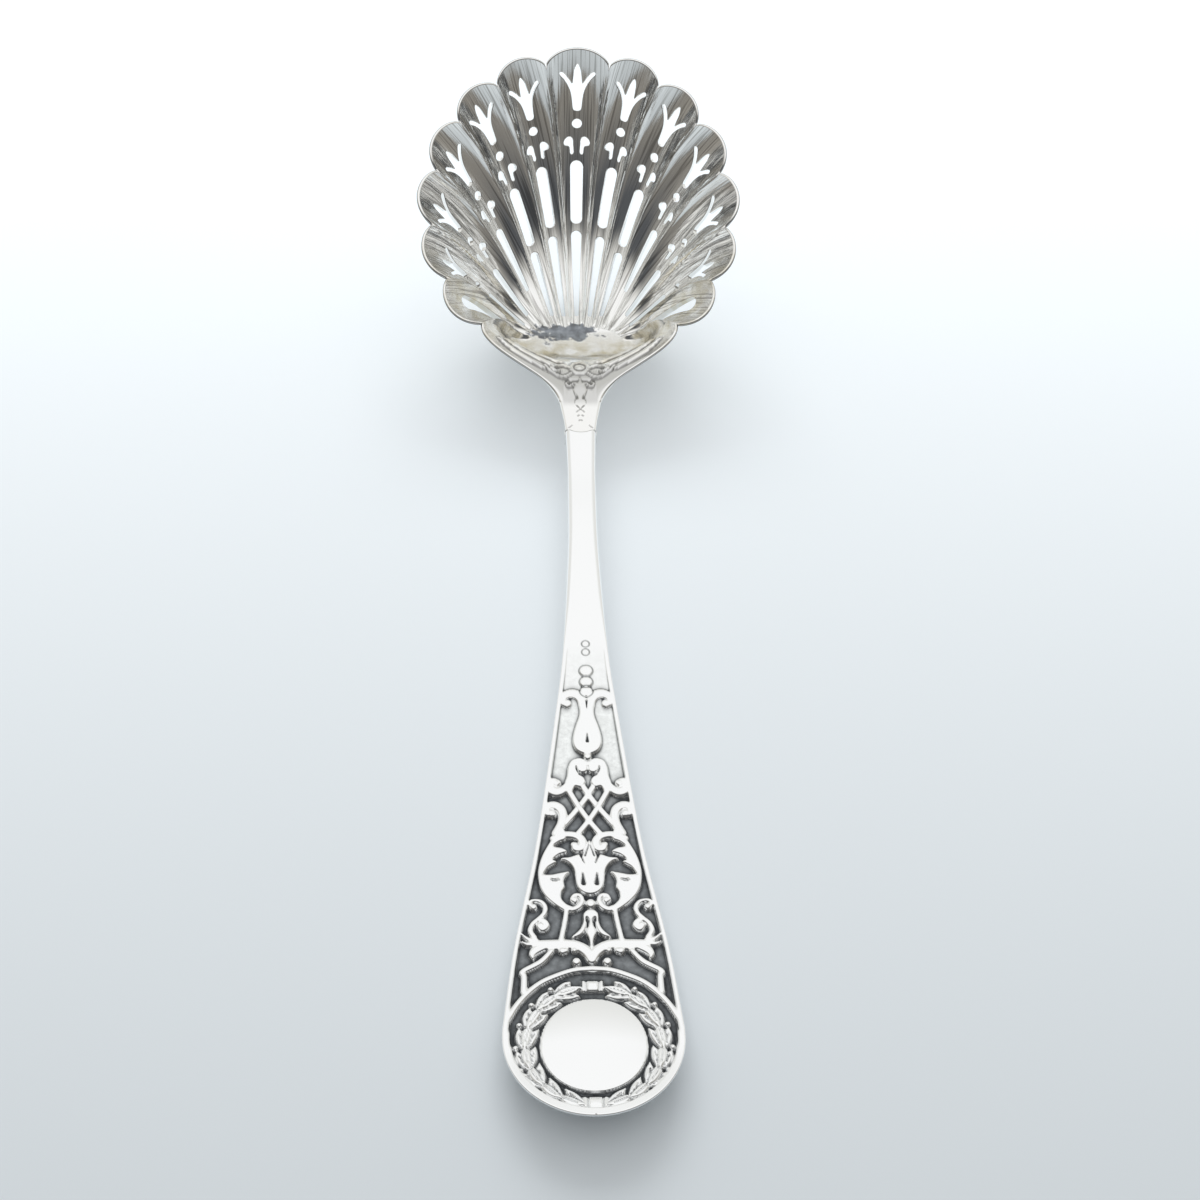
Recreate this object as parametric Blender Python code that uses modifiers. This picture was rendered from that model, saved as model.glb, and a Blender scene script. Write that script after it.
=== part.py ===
"""Sugar sifter spoon: a fluted, pierced shell bowl hard-soldered to a struck handle.

The spoon lies on its back as on a table: X across, +Y from the handle's end to the
bowl's tip, +Z up. It rests on the small pad under the bowl and on the flat back of
the handle. All sizes below are millimetres.
"""
import math

import bmesh
import bpy
import numpy as np
from mathutils import Matrix

MM = 0.001

# Stations along Y are measured from the stem; this shift centres the whole spoon on the origin
CENTRE_SHIFT_Y = 2.2465

# Bowl: the rim's notches lie on a tilted ellipse, and a lobe stands out between two notches
RIM_HALF_WIDTH = 21.7
RIM_HALF_LENGTH = 25.15
RIM_TILT = math.radians(24.6)
RIM_CENTRE_Y = 53.8
RIM_CENTRE_Z = 21.0
LOBE_COUNT = 13
MIDDLE_LOBE_ANGLE = math.radians(25.8)
LOBE_ANGLE = math.radians(21.06)
LOBE_REACH = 2.7
FLUTE_DEPTH = 1.2
FLUTE_DEEPENING = 1.9
WALL_SLOPE = 0.95
WALL_SLOPE_AT_NECK = 0.60
SHEET = 0.9

# The pad at the foot of the flutes, which the bowl stands on
PAD_Y = 47.4
PAD_HALF_WIDTH = 7.15
PAD_HALF_LENGTH = 3.4
PAD_FLAT_SHARE = 0.8
FAN_ANGLE_AT_PAD = math.radians(83.7)

# Share of a flute's length over which it leaves the pad level, and meets the rim wall
PAD_EASE = 0.30
RIM_EASE = 0.45

# Neck of the bowl, and the tongue that laps on the stem
NECK_Y = 24.4
NECK_Z = 8.4
NECK_HALF_WIDTH = 2.95
TONGUE_END_Y = 19.0
TONGUE_END_Z = 7.3
TONGUE_END_HALF_WIDTH = 2.2
TONGUE_FIT = 1.02

# Front wall between the last notches and the neck
BELOW_CORNER = (0.9, -4.8, -0.9)
BEFORE_NECK = (0.4, 4.6, 0.8)
NECK_RUN = (0.0, -1.0, -0.15)
FRONT_PAD_EASE = 0.36
FRONT_RIM_EASE = 0.40
NECK_PAD_EASE = 0.16
NECK_RIM_EASE = 0.60
FLANGE_SHARE_OF_PAD = 0.7

# Handle: top profile and half width along Y, from the neck to the round end
HANDLE_TOP = ((19.0, 7.3), (10.0, 6.85), (2.0, 6.65), (-13.0, 6.0), (-33.0, 4.35), (-50.0, 2.9),
              (-64.0, 2.7), (-75.0, 3.65), (-83.8, 5.2))
HANDLE_HALF_WIDTH = ((19.0, 2.25), (10.0, 2.05), (2.0, 2.05), (-13.0, 2.55), (-21.0, 2.95),
                     (-32.0, 4.15), (-49.0, 6.4), (-64.5, 9.1), (-73.0, 10.0))
HANDLE_BACK = ((19.0, 4.0), (2.0, 3.5), (-13.0, 3.1), (-33.0, 1.8), (-50.0, 0.0), (-64.0, 0.0),
               (-75.0, 1.5), (-83.8, 3.3))
END_RADIUS = 10.0
END_CENTRE_Y = -73.8
EDGE_EASE = 0.22
BACK_SHARE_OF_WIDTH = 0.72
BELLY_SHARE_OF_HEIGHT = 0.4

# Relief on the handle: raised border, sunk ground, ring mouldings, dome and beads
BORDER = 0.7
GROUND_DEPTH = 0.6
GROUND_START_Y = -18.0
GROUND_FULL_Y = -22.0
GROUND_START_SHARE = 0.25
ROUNDEL_Y = -74.9
DOME_RADIUS = 5.95
DOME_RISE = 0.75
WREATH_RADIUS = 7.35
WREATH_HALF_WIDTH = 0.7
WREATH_RISE = 0.6
BEADS = ((-24.0, 0.85), (-25.8, 0.8), (-27.4, 0.75), (-36.7, 0.6), (-56.85, 0.6))
MOTIF_RISE = 0.48
MOTIF_RISE_STEP = 0.004
MOTIF_ROOT = 0.25

# Main motifs on the right half, mirrored to the left; an outline that starts on the axis is one body
OUTLINES = {
    "lyre": ((0.0, -28.2), (0.8, -29.2), (0.95, -31.0), (1.4, -32.3), (1.75, -34.2),
             (1.3, -35.8), (0.0, -36.4)),
    "husk": ((0.0, -37.45), (1.24, -36.95), (2.0, -37.3), (2.4, -38.2), (2.56, -39.4), (2.87, -40.55),
             (2.4, -41.4), (1.5, -40.9), (0.9, -41.0), (0.35, -40.35), (1.16, -39.16), (0.0, -38.5)),
    "leaf_upper": ((3.24, -46.18), (4.72, -48.58), (5.93, -51.59), (6.05, -52.87), (4.92, -52.0),
                   (4.1, -51.1),
                   (2.69, -49.86), (4.0, -49.15), (2.76, -47.97)),
    "leaf_lower": ((6.06, -52.6), (4.51, -52.97), (2.45, -52.6), (3.08, -53.84), (3.0, -54.71),
                   (3.34, -56.24),
                   (2.11, -57.5), (3.78, -57.3), (5.45, -55.56), (5.93, -54.36)),
    "tulip": ((0.0, -48.3), (0.65, -49.9), (1.33, -50.26), (3.39, -50.8), (2.14, -51.76), (1.75, -53.2),
              (1.42, -54.79), (0.0, -55.63)),
    "bell": ((0.0, -57.9), (0.86, -58.29), (0.95, -59.3), (2.1, -61.1), (0.9, -60.7), (0.0, -62.5)),
}
BANDS = {
    "lyre_arm": (0.4, ((0.55, -29.0), (0.75, -28.1), (1.3, -27.6), (2.1, -27.45), (2.9, -27.9),
                       (3.0, -28.6))),
    "strap_over": (0.38, ((2.3, -41.6), (1.13, -43.8), (-0.18, -45.86), (-1.3, -47.37))),
    "strap_under": (0.37, ((-0.5, -41.1), (0.37, -42.56), (1.6, -44.29), (3.12, -46.22))),
    "side_curl": (0.36, ((2.6, -40.7), (3.06, -41.3), (3.8, -41.59), (4.45, -41.32),
                         (4.66, -40.68), (4.3, -40.2))),
    "scroll_hook": (0.42, ((4.4, -44.7), (5.0, -44.4), (5.1, -43.9), (4.6, -43.5), (3.9, -43.55),
                           (3.35, -44.0),
                           (3.11, -44.88), (3.3, -46.05), (3.7, -47.1))),
    "inner_scroll": (0.36, ((4.2, -48.0), (3.24, -47.55), (2.04, -47.51), (1.15, -47.87),
                            (0.85, -48.56), (1.1, -49.2))),
    "tendril": (0.28, ((6.6, -56.43), (5.75, -56.62), (5.27, -57.31), (5.37, -58.13),
                       (6.67, -59.5), (6.96, -60.41),
                       (6.6, -61.5))),
    "arm": (0.55, ((0.35, -63.4), (0.8, -62.75), (1.6, -62.3), (2.76, -62.11), (4.41, -62.18),
                   (6.6, -61.95))),
    "strut": (0.33, ((4.7, -62.9), (5.79, -64.38), (7.6, -65.5), (7.65, -66.5), (7.65, -68.4))),
    "arch": (0.42, ((-0.35, -65.27), (2.0, -65.45), (3.9, -66.1), (5.7, -67.0), (7.2, -68.3),
                    (8.5, -70.0), (9.4, -71.8))),
}

# Lap joint under the tongue
JOINT_GAP = 0.3
SOLDER_THICKNESS = 0.12
SOLDER_HALF_WIDTH = 1.9
SEAT_HALF_WIDTH = 2.3
SEAT_BACK = 4.0
HEEL_END_Y = 33.5
HEEL_END_HALF_WIDTH = 0.6
HEEL_HALF_WIDTH = 2.35
HEEL_BACK = 3.9
HEEL_LEAST_HEIGHT = 0.5
HEEL_CLEARANCE = 1.35 * SHEET + JOINT_GAP

# Piercing of one flute, measured along it from the lobe's edge
FLEUR = ((0.0, -0.35), (0.62, 0.1), (0.7, 2.6), (2.45, 6.0), (1.95, 6.6), (0.85, 4.3), (0.6, 5.6),
         (0.45, 7.3))
FLEUR_FOOT = 9.4
EYE_AT = 11.7
EYE_RADIUS = 0.78
COMMA_AT = 14.3
COMMA_SPREAD = 1.3
COMMA_RADIUS = 0.68
SLOT_FROM = 17.5
SLOT_FROM_AFTER_EYE = 15.4
SLOT_FROM_AFTER_FLEUR = 11.6
SLOT_HALF_WIDTH = 1.0
SLOT_FOOT_HALF_WIDTH = 0.34
SLOT_END_SHARE = 0.45
SLOT_FOOT_CLEARANCE = 2.6
SIDE_SLOT_FOOT_CLEARANCE = 6.0
BRIDGE_AT = 27.0
BRIDGE = 1.3
CUT_HALF_DEPTH = 1.3
FULL_PATTERN_LENGTH = 26.0

# Facets
LOBE_STEPS = 6
FLUTE_STEPS = 12
FLANGE_STEPS = 5
NECK_STEPS = 4


def clear_scene():
    for item in list(bpy.data.objects):
        bpy.data.objects.remove(item, do_unlink=True)


def collection(name):
    group = bpy.data.collections.new(name)
    bpy.context.scene.collection.children.link(group)
    return group


def silver(name, colour, roughness):
    material = bpy.data.materials.new(name)
    material.use_nodes = True
    shader = material.node_tree.nodes["Principled BSDF"]
    shader.inputs["Base Color"].default_value = (*colour, 1.0)
    shader.inputs["Roughness"].default_value = roughness
    shader.inputs["Metallic"].default_value = 1.0
    return material


def add_object(name, bm, group, material=None):
    """Make a mesh object from a bmesh drawn in millimetres."""
    bmesh.ops.translate(bm, vec=(0.0, CENTRE_SHIFT_Y, 0.0), verts=bm.verts)
    bmesh.ops.scale(bm, vec=(MM, MM, MM), verts=bm.verts)
    mesh = bpy.data.meshes.new(name)
    bm.to_mesh(mesh)
    bm.free()
    item = bpy.data.objects.new(name, mesh)
    group.objects.link(item)
    if material:
        mesh.materials.append(material)
    return item


def add_boolean(item, other, operation):
    cut = item.modifiers.new(other.name, "BOOLEAN")
    cut.operation = operation
    cut.object = other
    cut.solver = "EXACT"


def guide(item):
    item.hide_render = True
    item.display_type = "WIRE"


def smooth(value, table):
    """A smooth curve through the points of a table that never overshoots them."""
    points = np.array(sorted(table))
    x, y = points[:, 0], points[:, 1]
    rise = np.diff(y) / np.diff(x)
    before = np.concatenate((rise[:1], rise))
    after = np.concatenate((rise, rise[-1:]))
    turning = before * after <= 0
    slope = np.where(turning, 0.0, 2 * before * after / np.where(turning, 1.0, before + after))
    i = np.clip(np.searchsorted(x, value) - 1, 0, len(x) - 2)
    width = x[i + 1] - x[i]
    t = np.clip((value - x[i]) / width, 0, 1)
    start = (1 + 2 * t) * (1 - t) ** 2 * y[i] + t * (1 - t) ** 2 * width * slope[i]
    end = t ** 2 * (3 - 2 * t) * y[i + 1] + t ** 2 * (t - 1) * width * slope[i + 1]
    return start + end


def loft(bm, rings):
    """Skin a row of closed rings, with both ends capped."""
    loops = [[bm.verts.new(point) for point in ring] for ring in rings]
    count = len(loops[0])
    for near, far in zip(loops, loops[1:]):
        for i in range(count):
            j = (i + 1) % count
            bm.faces.new((near[i], near[j], far[j], far[i]))
    bm.faces.new(loops[0])
    bm.faces.new(reversed(loops[-1]))
    bmesh.ops.recalc_face_normals(bm, faces=bm.faces)


def unit(vectors):
    return vectors / np.linalg.norm(vectors, axis=-1, keepdims=True)


def column(values):
    return np.asarray(values)[..., None]


def rim_axes():
    along = np.array((0.0, math.cos(RIM_TILT), math.sin(RIM_TILT)))
    normal = np.array((0.0, -math.sin(RIM_TILT), math.cos(RIM_TILT)))
    return along, normal


def rim_points(angle):
    """Points of the notch ellipse; angle 0 is at the bowl's tip."""
    along, _ = rim_axes()
    centre = np.array((0.0, RIM_CENTRE_Y, RIM_CENTRE_Z))
    across = column(RIM_HALF_WIDTH * np.sin(angle)) * np.array((1.0, 0.0, 0.0))
    return centre + across + column(RIM_HALF_LENGTH * np.cos(angle)) * along


def wall_directions(angle):
    """Direction in which the wall leaves the rim: outward, and up from the rim's plane."""
    along, normal = rim_axes()
    outward = column(np.sin(angle) / RIM_HALF_WIDTH) * np.array((1.0, 0.0, 0.0))
    outward = unit(outward + column(np.cos(angle) / RIM_HALF_LENGTH) * along)
    near = np.maximum(0.0, -np.cos(angle)) ** 2
    slope = column(WALL_SLOPE + (WALL_SLOPE_AT_NECK - WALL_SLOPE) * near)
    return np.cos(slope) * outward + np.sin(slope) * normal


def pad_points(angle, height):
    flat = np.stack((PAD_HALF_WIDTH * np.sin(angle), PAD_Y + PAD_HALF_LENGTH * np.cos(angle)), -1)
    return np.concatenate((flat, np.full(flat.shape[:-1] + (1,), height)), -1)


def pad_outward(angle):
    flat = np.stack((PAD_HALF_LENGTH * np.sin(angle), PAD_HALF_WIDTH * np.cos(angle), 0 * angle), -1)
    return unit(flat)


def last_notch():
    return MIDDLE_LOBE_ANGLE / 2 + LOBE_ANGLE * (LOBE_COUNT // 2)


def rim_angle(lobe, place):
    """Rim angle of a place (-1 to 1) across a lobe; lobe 0 is the middle one."""
    width = np.where(lobe == 0, MIDDLE_LOBE_ANGLE, LOBE_ANGLE)
    shift = np.sign(lobe) * (MIDDLE_LOBE_ANGLE / 2 + LOBE_ANGLE * (np.abs(lobe) - 0.5))
    return shift + place * width / 2


def bezier(c0, c1, c2, c3, t):
    t = column(t)
    return (1 - t) ** 3 * c0 + 3 * (1 - t) ** 2 * t * c1 + 3 * (1 - t) * t ** 2 * c2 + t ** 3 * c3


def fan_controls(angle, reach):
    """Four control points of each flute line: it leaves the pad level and meets the rim's wall."""
    at_pad = FAN_ANGLE_AT_PAD * angle / last_notch()
    wall = wall_directions(angle)
    c0 = pad_points(at_pad, SHEET)
    c3 = rim_points(angle) + column(reach) * wall
    length = np.linalg.norm(c3 - c0, axis=-1, keepdims=True)
    return c0, c0 + PAD_EASE * length * pad_outward(at_pad), c3 - RIM_EASE * length * wall, c3


def fan_surface(lobe, place, t):
    """A point on the inside of the fluted wall; t runs from the pad (0) to the edge (1)."""
    angle = rim_angle(lobe, place)
    hollow = 1 - place ** 2
    point = bezier(*fan_controls(angle, LOBE_REACH * np.sqrt(hollow)), t)
    step = 0.01
    plain = [bezier(*fan_controls(angle + a, 0 * angle), np.clip(t + b, 0, 1))
             for a, b in ((step, 0), (-step, 0), (0, step), (0, -step))]
    outward = unit(np.cross(plain[2] - plain[3], plain[0] - plain[1]))
    return point + outward * column(FLUTE_DEPTH * t ** FLUTE_DEEPENING * hollow)


def flange_edge(t):
    """Edge of the right flange, from the last notch down to the neck."""
    corner = rim_points(np.array([last_notch()]))[0]
    neck = np.array((NECK_HALF_WIDTH, NECK_Y, NECK_Z))
    return bezier(corner, corner + np.array(BELOW_CORNER), neck + np.array(BEFORE_NECK), neck, t)


def neck_surface(share, side, t):
    """Plain front wall: share 0 to 1 runs down the flange, 1 to 2 across half the neck."""
    flange = np.minimum(share, 1.0)
    inward = np.maximum(share - 1.0, 0.0)
    edge = flange_edge(flange) * np.stack((1 - inward, 1 + 0 * share, 1 + 0 * share), -1)
    share_of_pad = FLANGE_SHARE_OF_PAD * flange + (1 - FLANGE_SHARE_OF_PAD) * inward
    turn = FAN_ANGLE_AT_PAD + (math.pi - FAN_ANGLE_AT_PAD) * share_of_pad
    start = pad_points(turn, SHEET)
    corner_wall = wall_directions(np.array([last_notch()]))[0]
    wall = unit(corner_wall + column(flange) * (np.array(NECK_RUN) - corner_wall))
    length = np.linalg.norm(edge - start, axis=-1, keepdims=True)
    toward_neck = column(flange ** 3)
    pad_ease = FRONT_PAD_EASE + (NECK_PAD_EASE - FRONT_PAD_EASE) * toward_neck
    rim_ease = FRONT_RIM_EASE + (NECK_RIM_EASE - FRONT_RIM_EASE) * toward_neck
    leave = start + pad_ease * length * pad_outward(turn)
    point = bezier(start, leave, edge - rim_ease * length * wall, edge, t)
    return point * np.array((side, 1.0, 1.0))


def bowl_columns():
    """Lines of the shell from the pad to the edge, in order round the bowl."""
    t = np.linspace(0, 1, FLUTE_STEPS + 1)
    flange = list(np.linspace(0, 1, FLANGE_STEPS + 1)[1:])
    flange += list(np.linspace(1, 2, NECK_STEPS // 2 + 1)[1:])
    lines = []
    for lobe in range(-(LOBE_COUNT // 2), LOBE_COUNT // 2 + 1):
        for place in np.linspace(-1, 1, LOBE_STEPS + 1)[:-1]:
            lines.append(fan_surface(np.full_like(t, lobe), np.full_like(t, place), t))
    lines.append(fan_surface(np.full_like(t, LOBE_COUNT // 2), np.ones_like(t), t))
    for share in flange:
        lines.append(neck_surface(np.full_like(t, share), 1, t))
    for share in reversed(flange[:-1]):
        lines.append(neck_surface(np.full_like(t, share), -1, t))
    return lines


def build_bowl(parts, cutters, material):
    """Stamped shell: pad, fluted fan, flanges and neck, with the tongue drawn out of the neck."""
    bm = bmesh.new()
    lines = bowl_columns()
    middle = np.array((0.0, PAD_Y, SHEET))
    centre = bm.verts.new(middle)
    loops = []
    for line in lines:
        flat = middle + PAD_FLAT_SHARE * (line[0] - middle)
        loops.append([centre, bm.verts.new(flat)] + [bm.verts.new(point) for point in line])
    for left, right in zip(loops, loops[1:] + loops[:1]):
        bm.faces.new((centre, left[1], right[1]))
        for i in range(1, len(left) - 1):
            bm.faces.new((left[i], left[i + 1], right[i + 1], right[i]))
    bm.edges.ensure_lookup_table()
    mouth = [edge for edge in bm.edges
             if edge.is_boundary and all(abs(v.co.y - NECK_Y) < 1e-4 for v in edge.verts)]
    drawn = bmesh.ops.extrude_edge_only(bm, edges=mouth)["geom"]
    for vert in drawn:
        if isinstance(vert, bmesh.types.BMVert):
            vert.co.x *= TONGUE_END_HALF_WIDTH / NECK_HALF_WIDTH
            vert.co.y = TONGUE_END_Y
            vert.co.z = TONGUE_END_Z
    bmesh.ops.recalc_face_normals(bm, faces=bm.faces)
    upward = max(bm.faces, key=lambda face: abs(face.normal.z))
    if upward.normal.z < 0:
        bmesh.ops.reverse_faces(bm, faces=bm.faces)
    bowl = add_object("bowl", bm, parts, material)
    bowl.data.shade_smooth()
    bowl.data.set_sharp_from_angle(angle=math.radians(35))
    wall = bowl.modifiers.new("Sheet", "SOLIDIFY")
    wall.thickness = SHEET * MM
    wall.offset = -1.0
    for lobe in range(-(LOBE_COUNT // 2), LOBE_COUNT // 2 + 1):
        piercing = build_piercing(lobe, cutters)
        add_boolean(bowl, piercing, "DIFFERENCE")
    return bowl


def flute_line(lobe):
    """The bottom of one flute from the edge inwards, with its length and its local axes."""
    t = np.linspace(1, 0, 240)
    line = fan_surface(np.full_like(t, lobe), 0 * t, t)
    beside = fan_surface(np.full_like(t, lobe), 0 * t + 0.02, t)
    length = np.concatenate(([0.0], np.cumsum(np.linalg.norm(np.diff(line, axis=0), axis=1))))
    outward = -unit(np.gradient(line, axis=0))
    across = unit(beside - line)
    across = unit(across - column((across * outward).sum(-1)) * outward)
    return length, line, outward, across


def at_length(track, distance):
    """Point and axes of a flute at a distance from its edge."""
    length, *rows = track
    return [np.array([np.interp(distance, length, row[:, i]) for i in range(3)]) for row in rows]


def prism(bm, track, distance, outline):
    """A straight cutter through the wall, its outline drawn in the wall's plane."""
    point, outward, across = at_length(track, distance)
    normal = np.cross(across, outward)
    rings = []
    for depth in (-CUT_HALF_DEPTH, CUT_HALF_DEPTH):
        rings.append([point + x * across + y * outward + depth * normal for x, y in outline])
    loft(bm, rings)


def slot(bm, track, start, end, width_start, width_end):
    """A slit that follows the flute, with drawn-in ends."""
    steps = 6
    rings = []
    for i in range(steps + 1):
        share = i / steps
        point, outward, across = at_length(track, start + share * (end - start))
        normal = np.cross(across, outward)
        half = width_start + share * (width_end - width_start)
        if i in (0, steps):
            half *= SLOT_END_SHARE
        rings.append([point + x * half * across + depth * normal
                      for x, depth in ((-1, -CUT_HALF_DEPTH), (1, -CUT_HALF_DEPTH),
                                       (1, CUT_HALF_DEPTH), (-1, CUT_HALF_DEPTH))])
    loft(bm, rings)


def circle(radius, steps, x=0.0):
    turns = [2 * math.pi * i / steps for i in range(steps)]
    return [(x + radius * math.cos(turn), radius * math.sin(turn)) for turn in turns]


def comma(side, scale):
    """A drop: a round head with a tail that leans to the middle."""
    head = circle(COMMA_RADIUS, 8, COMMA_SPREAD)
    kept = [point for point in head if point[1] > -0.2]
    tail = [(COMMA_SPREAD - 1.0, -2.5), (COMMA_SPREAD - 0.65, -2.6)]
    return [(side * scale * x, scale * y) for x, y in kept + tail]


def build_piercing(lobe, cutters):
    """Fleur, eye, two commas and long slits of one flute, as one cutter of separate bodies."""
    bm = bmesh.new()
    track = flute_line(lobe)
    total = track[0][-1]
    scale = min(1.0, total / FULL_PATTERN_LENGTH)
    fleur = list(FLEUR) + [(-x, y) for x, y in reversed(FLEUR[1:])]
    prism(bm, track, scale * FLEUR_FOOT, [(scale * x, scale * y) for x, y in fleur])
    slot_end = total - (SLOT_FOOT_CLEARANCE if abs(lobe) <= 2 else SIDE_SLOT_FOOT_CLEARANCE)
    if abs(lobe) <= 5:
        prism(bm, track, scale * EYE_AT, circle(scale * EYE_RADIUS, 10))
    if abs(lobe) <= 4:
        for side in (-1, 1):
            prism(bm, track, scale * COMMA_AT, comma(side, scale))
    start = scale * SLOT_FROM
    if abs(lobe) == 5:
        start = scale * SLOT_FROM_AFTER_EYE
    if abs(lobe) == 6:
        start = scale * SLOT_FROM_AFTER_FLEUR
    width = scale * SLOT_HALF_WIDTH
    if abs(lobe) <= 2:
        slot(bm, track, start, BRIDGE_AT, width, 0.85 * width)
        slot(bm, track, BRIDGE_AT + BRIDGE, slot_end, 0.8 * width, SLOT_FOOT_HALF_WIDTH)
    else:
        slot(bm, track, start, slot_end, 0.85 * width, SLOT_FOOT_HALF_WIDTH)
    piercing = add_object(f"piercing_{lobe}", bm, cutters)
    guide(piercing)
    return piercing


def handle_half_width(y):
    """Half width of the handle; its end is a round of its own radius."""
    if y > END_CENTRE_Y:
        return float(smooth(y, HANDLE_HALF_WIDTH))
    return math.sqrt(max(0.0, END_RADIUS ** 2 - (y - END_CENTRE_Y) ** 2))


def end_stations(radius, steps):
    """Stations of a round end, closer together towards its tip."""
    turns = [0.5 * math.pi * (i + 1) / steps for i in range(steps)]
    return [END_CENTRE_Y - radius * math.sin(min(turn, 0.46 * math.pi)) for turn in turns]


def front_wall(y):
    """Height of the inside of the bowl's front wall on the middle line."""
    t = np.linspace(0, 1, 200)
    line = neck_surface(np.full_like(t, 2.0), 1, t)
    return float(np.interp(y, line[::-1, 1], line[::-1, 2]))


def tongue_under(y):
    share = (y - TONGUE_END_Y) / (NECK_Y - TONGUE_END_Y)
    return TONGUE_END_Z + share * (NECK_Z - TONGUE_END_Z) - TONGUE_FIT * SHEET


def handle_ring(y, half, top, back):
    """Closed section with eased top edges and a narrower back."""
    belly = back + BELLY_SHARE_OF_HEIGHT * (top - back)
    flat = BACK_SHARE_OF_WIDTH * half
    face = half - EDGE_EASE
    shoulder = top - EDGE_EASE
    return [(-flat, y, back), (flat, y, back), (half, y, belly), (half, y, shoulder),
            (face, y, top), (-face, y, top), (-half, y, shoulder), (-half, y, belly)]


def build_handle(parts, cutters, material):
    """Struck stem and terminal in one, with the seat and heel that carry the bowl."""
    rings = []
    heel = np.linspace(HEEL_END_Y, NECK_Y, 5)
    for y in heel:
        share = (HEEL_END_Y - y) / (HEEL_END_Y - NECK_Y)
        half = HEEL_END_HALF_WIDTH + share * (HEEL_HALF_WIDTH - HEEL_END_HALF_WIDTH)
        back = HEEL_BACK + share * (SEAT_BACK - HEEL_BACK)
        top = max(front_wall(y) - HEEL_CLEARANCE, back + HEEL_LEAST_HEIGHT)
        rings.append(handle_ring(y, half, top, back))
    step_y = TONGUE_END_Y - JOINT_GAP
    rings.append(handle_ring(step_y + 0.05, SEAT_HALF_WIDTH, tongue_under(step_y) - JOINT_GAP, SEAT_BACK))
    stations = list(np.linspace(step_y, -20.0, 12)) + list(np.linspace(-24.0, -50.0, 8))
    stations += list(np.linspace(-54.0, -64.0, 3)) + [-67.0, -70.0, END_CENTRE_Y]
    for y in stations + end_stations(END_RADIUS, 8):
        top = float(smooth(y, HANDLE_TOP))
        rings.append(handle_ring(y, handle_half_width(y), top, float(smooth(y, HANDLE_BACK))))
    bm = bmesh.new()
    loft(bm, rings)
    handle = add_object("handle", bm, parts, material)
    handle.data.shade_smooth()
    handle.data.set_sharp_from_angle(angle=math.radians(35))
    add_boolean(handle, build_ground_cutter(cutters), "DIFFERENCE")
    for relief in build_relief(cutters) + build_motifs(cutters):
        add_boolean(handle, relief, "UNION")
    return handle


def build_ground_cutter(cutters):
    """The sunk ground inside the border, from its point on the stem to the round end."""
    inner = END_RADIUS - BORDER
    stations = list(np.linspace(GROUND_START_Y, -70.0, 22)) + [END_CENTRE_Y] + end_stations(inner, 8)
    rings = []
    for y in stations:
        half = handle_half_width(y) - BORDER
        if y < END_CENTRE_Y:
            half = math.sqrt(inner ** 2 - (y - END_CENTRE_Y) ** 2)
        if y > GROUND_FULL_Y:
            share = (GROUND_START_Y - y) / (GROUND_START_Y - GROUND_FULL_Y)
            half *= GROUND_START_SHARE + (1 - GROUND_START_SHARE) * share
        top = float(smooth(y, HANDLE_TOP))
        rings.append([(-half, y, top - GROUND_DEPTH), (half, y, top - GROUND_DEPTH),
                      (half, y, top + 2.0), (-half, y, top + 2.0)])
    bm = bmesh.new()
    loft(bm, rings)
    ground = add_object("ground", bm, cutters)
    guide(ground)
    return ground


def ground_place(y):
    """A frame on the sunk ground at y, turned to the handle's slope."""
    step = 2.0
    rise = float(smooth(y + step, HANDLE_TOP) - smooth(y - step, HANDLE_TOP))
    height = float(smooth(y, HANDLE_TOP)) - GROUND_DEPTH
    return Matrix.Translation((0.0, y, height)) @ Matrix.Rotation(math.atan2(rise, 2 * step), 4, "X")


def ring_body(bm, radius, half_width, height):
    """A half-round ring on the ground."""
    steps = 28
    root = -GROUND_DEPTH
    section = [(-half_width, root), (half_width, root), (half_width, 0.3 * height),
               (0.5 * half_width, height), (-0.5 * half_width, height), (-half_width, 0.3 * height)]
    loops = []
    for i in range(steps):
        turn = 2 * math.pi * i / steps
        loops.append([bm.verts.new(((radius + x) * math.cos(turn), (radius + x) * math.sin(turn), z))
                      for x, z in section])
    for near, far in zip(loops, loops[1:] + loops[:1]):
        for i in range(len(section)):
            j = (i + 1) % len(section)
            bm.faces.new((near[i], near[j], far[j], far[i]))
    bmesh.ops.recalc_face_normals(bm, faces=bm.faces)


def build_relief(cutters):
    """Dome, wreath ring and beads, to be joined to the handle."""
    place = ground_place(ROUNDEL_Y)
    bm = bmesh.new()
    ring_body(bm, WREATH_RADIUS, WREATH_HALF_WIDTH, WREATH_RISE)
    bmesh.ops.transform(bm, matrix=place, verts=bm.verts)
    reliefs = [add_object("wreath", bm, cutters)]
    bm = bmesh.new()
    bmesh.ops.create_uvsphere(bm, u_segments=20, v_segments=10, radius=1.0)
    bmesh.ops.scale(bm, vec=(DOME_RADIUS, DOME_RADIUS, DOME_RISE), verts=bm.verts)
    bmesh.ops.transform(bm, matrix=place, verts=bm.verts)
    reliefs.append(add_object("dome", bm, cutters))
    for i, (y, radius) in enumerate(BEADS):
        bm = bmesh.new()
        bmesh.ops.create_uvsphere(bm, u_segments=10, v_segments=6, radius=radius)
        bmesh.ops.transform(bm, matrix=ground_place(y), verts=bm.verts)
        reliefs.append(add_object(f"bead_{i}", bm, cutters))
    for relief in reliefs:
        guide(relief)
    return reliefs


def band_outline(half_width, line):
    """Outline of a band of even width along a line."""
    line = np.array(line)
    along = unit(np.gradient(line, axis=0))
    across = np.stack((-along[:, 1], along[:, 0]), -1) * half_width
    return np.vstack((line + across, (line - across)[::-1]))


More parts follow.
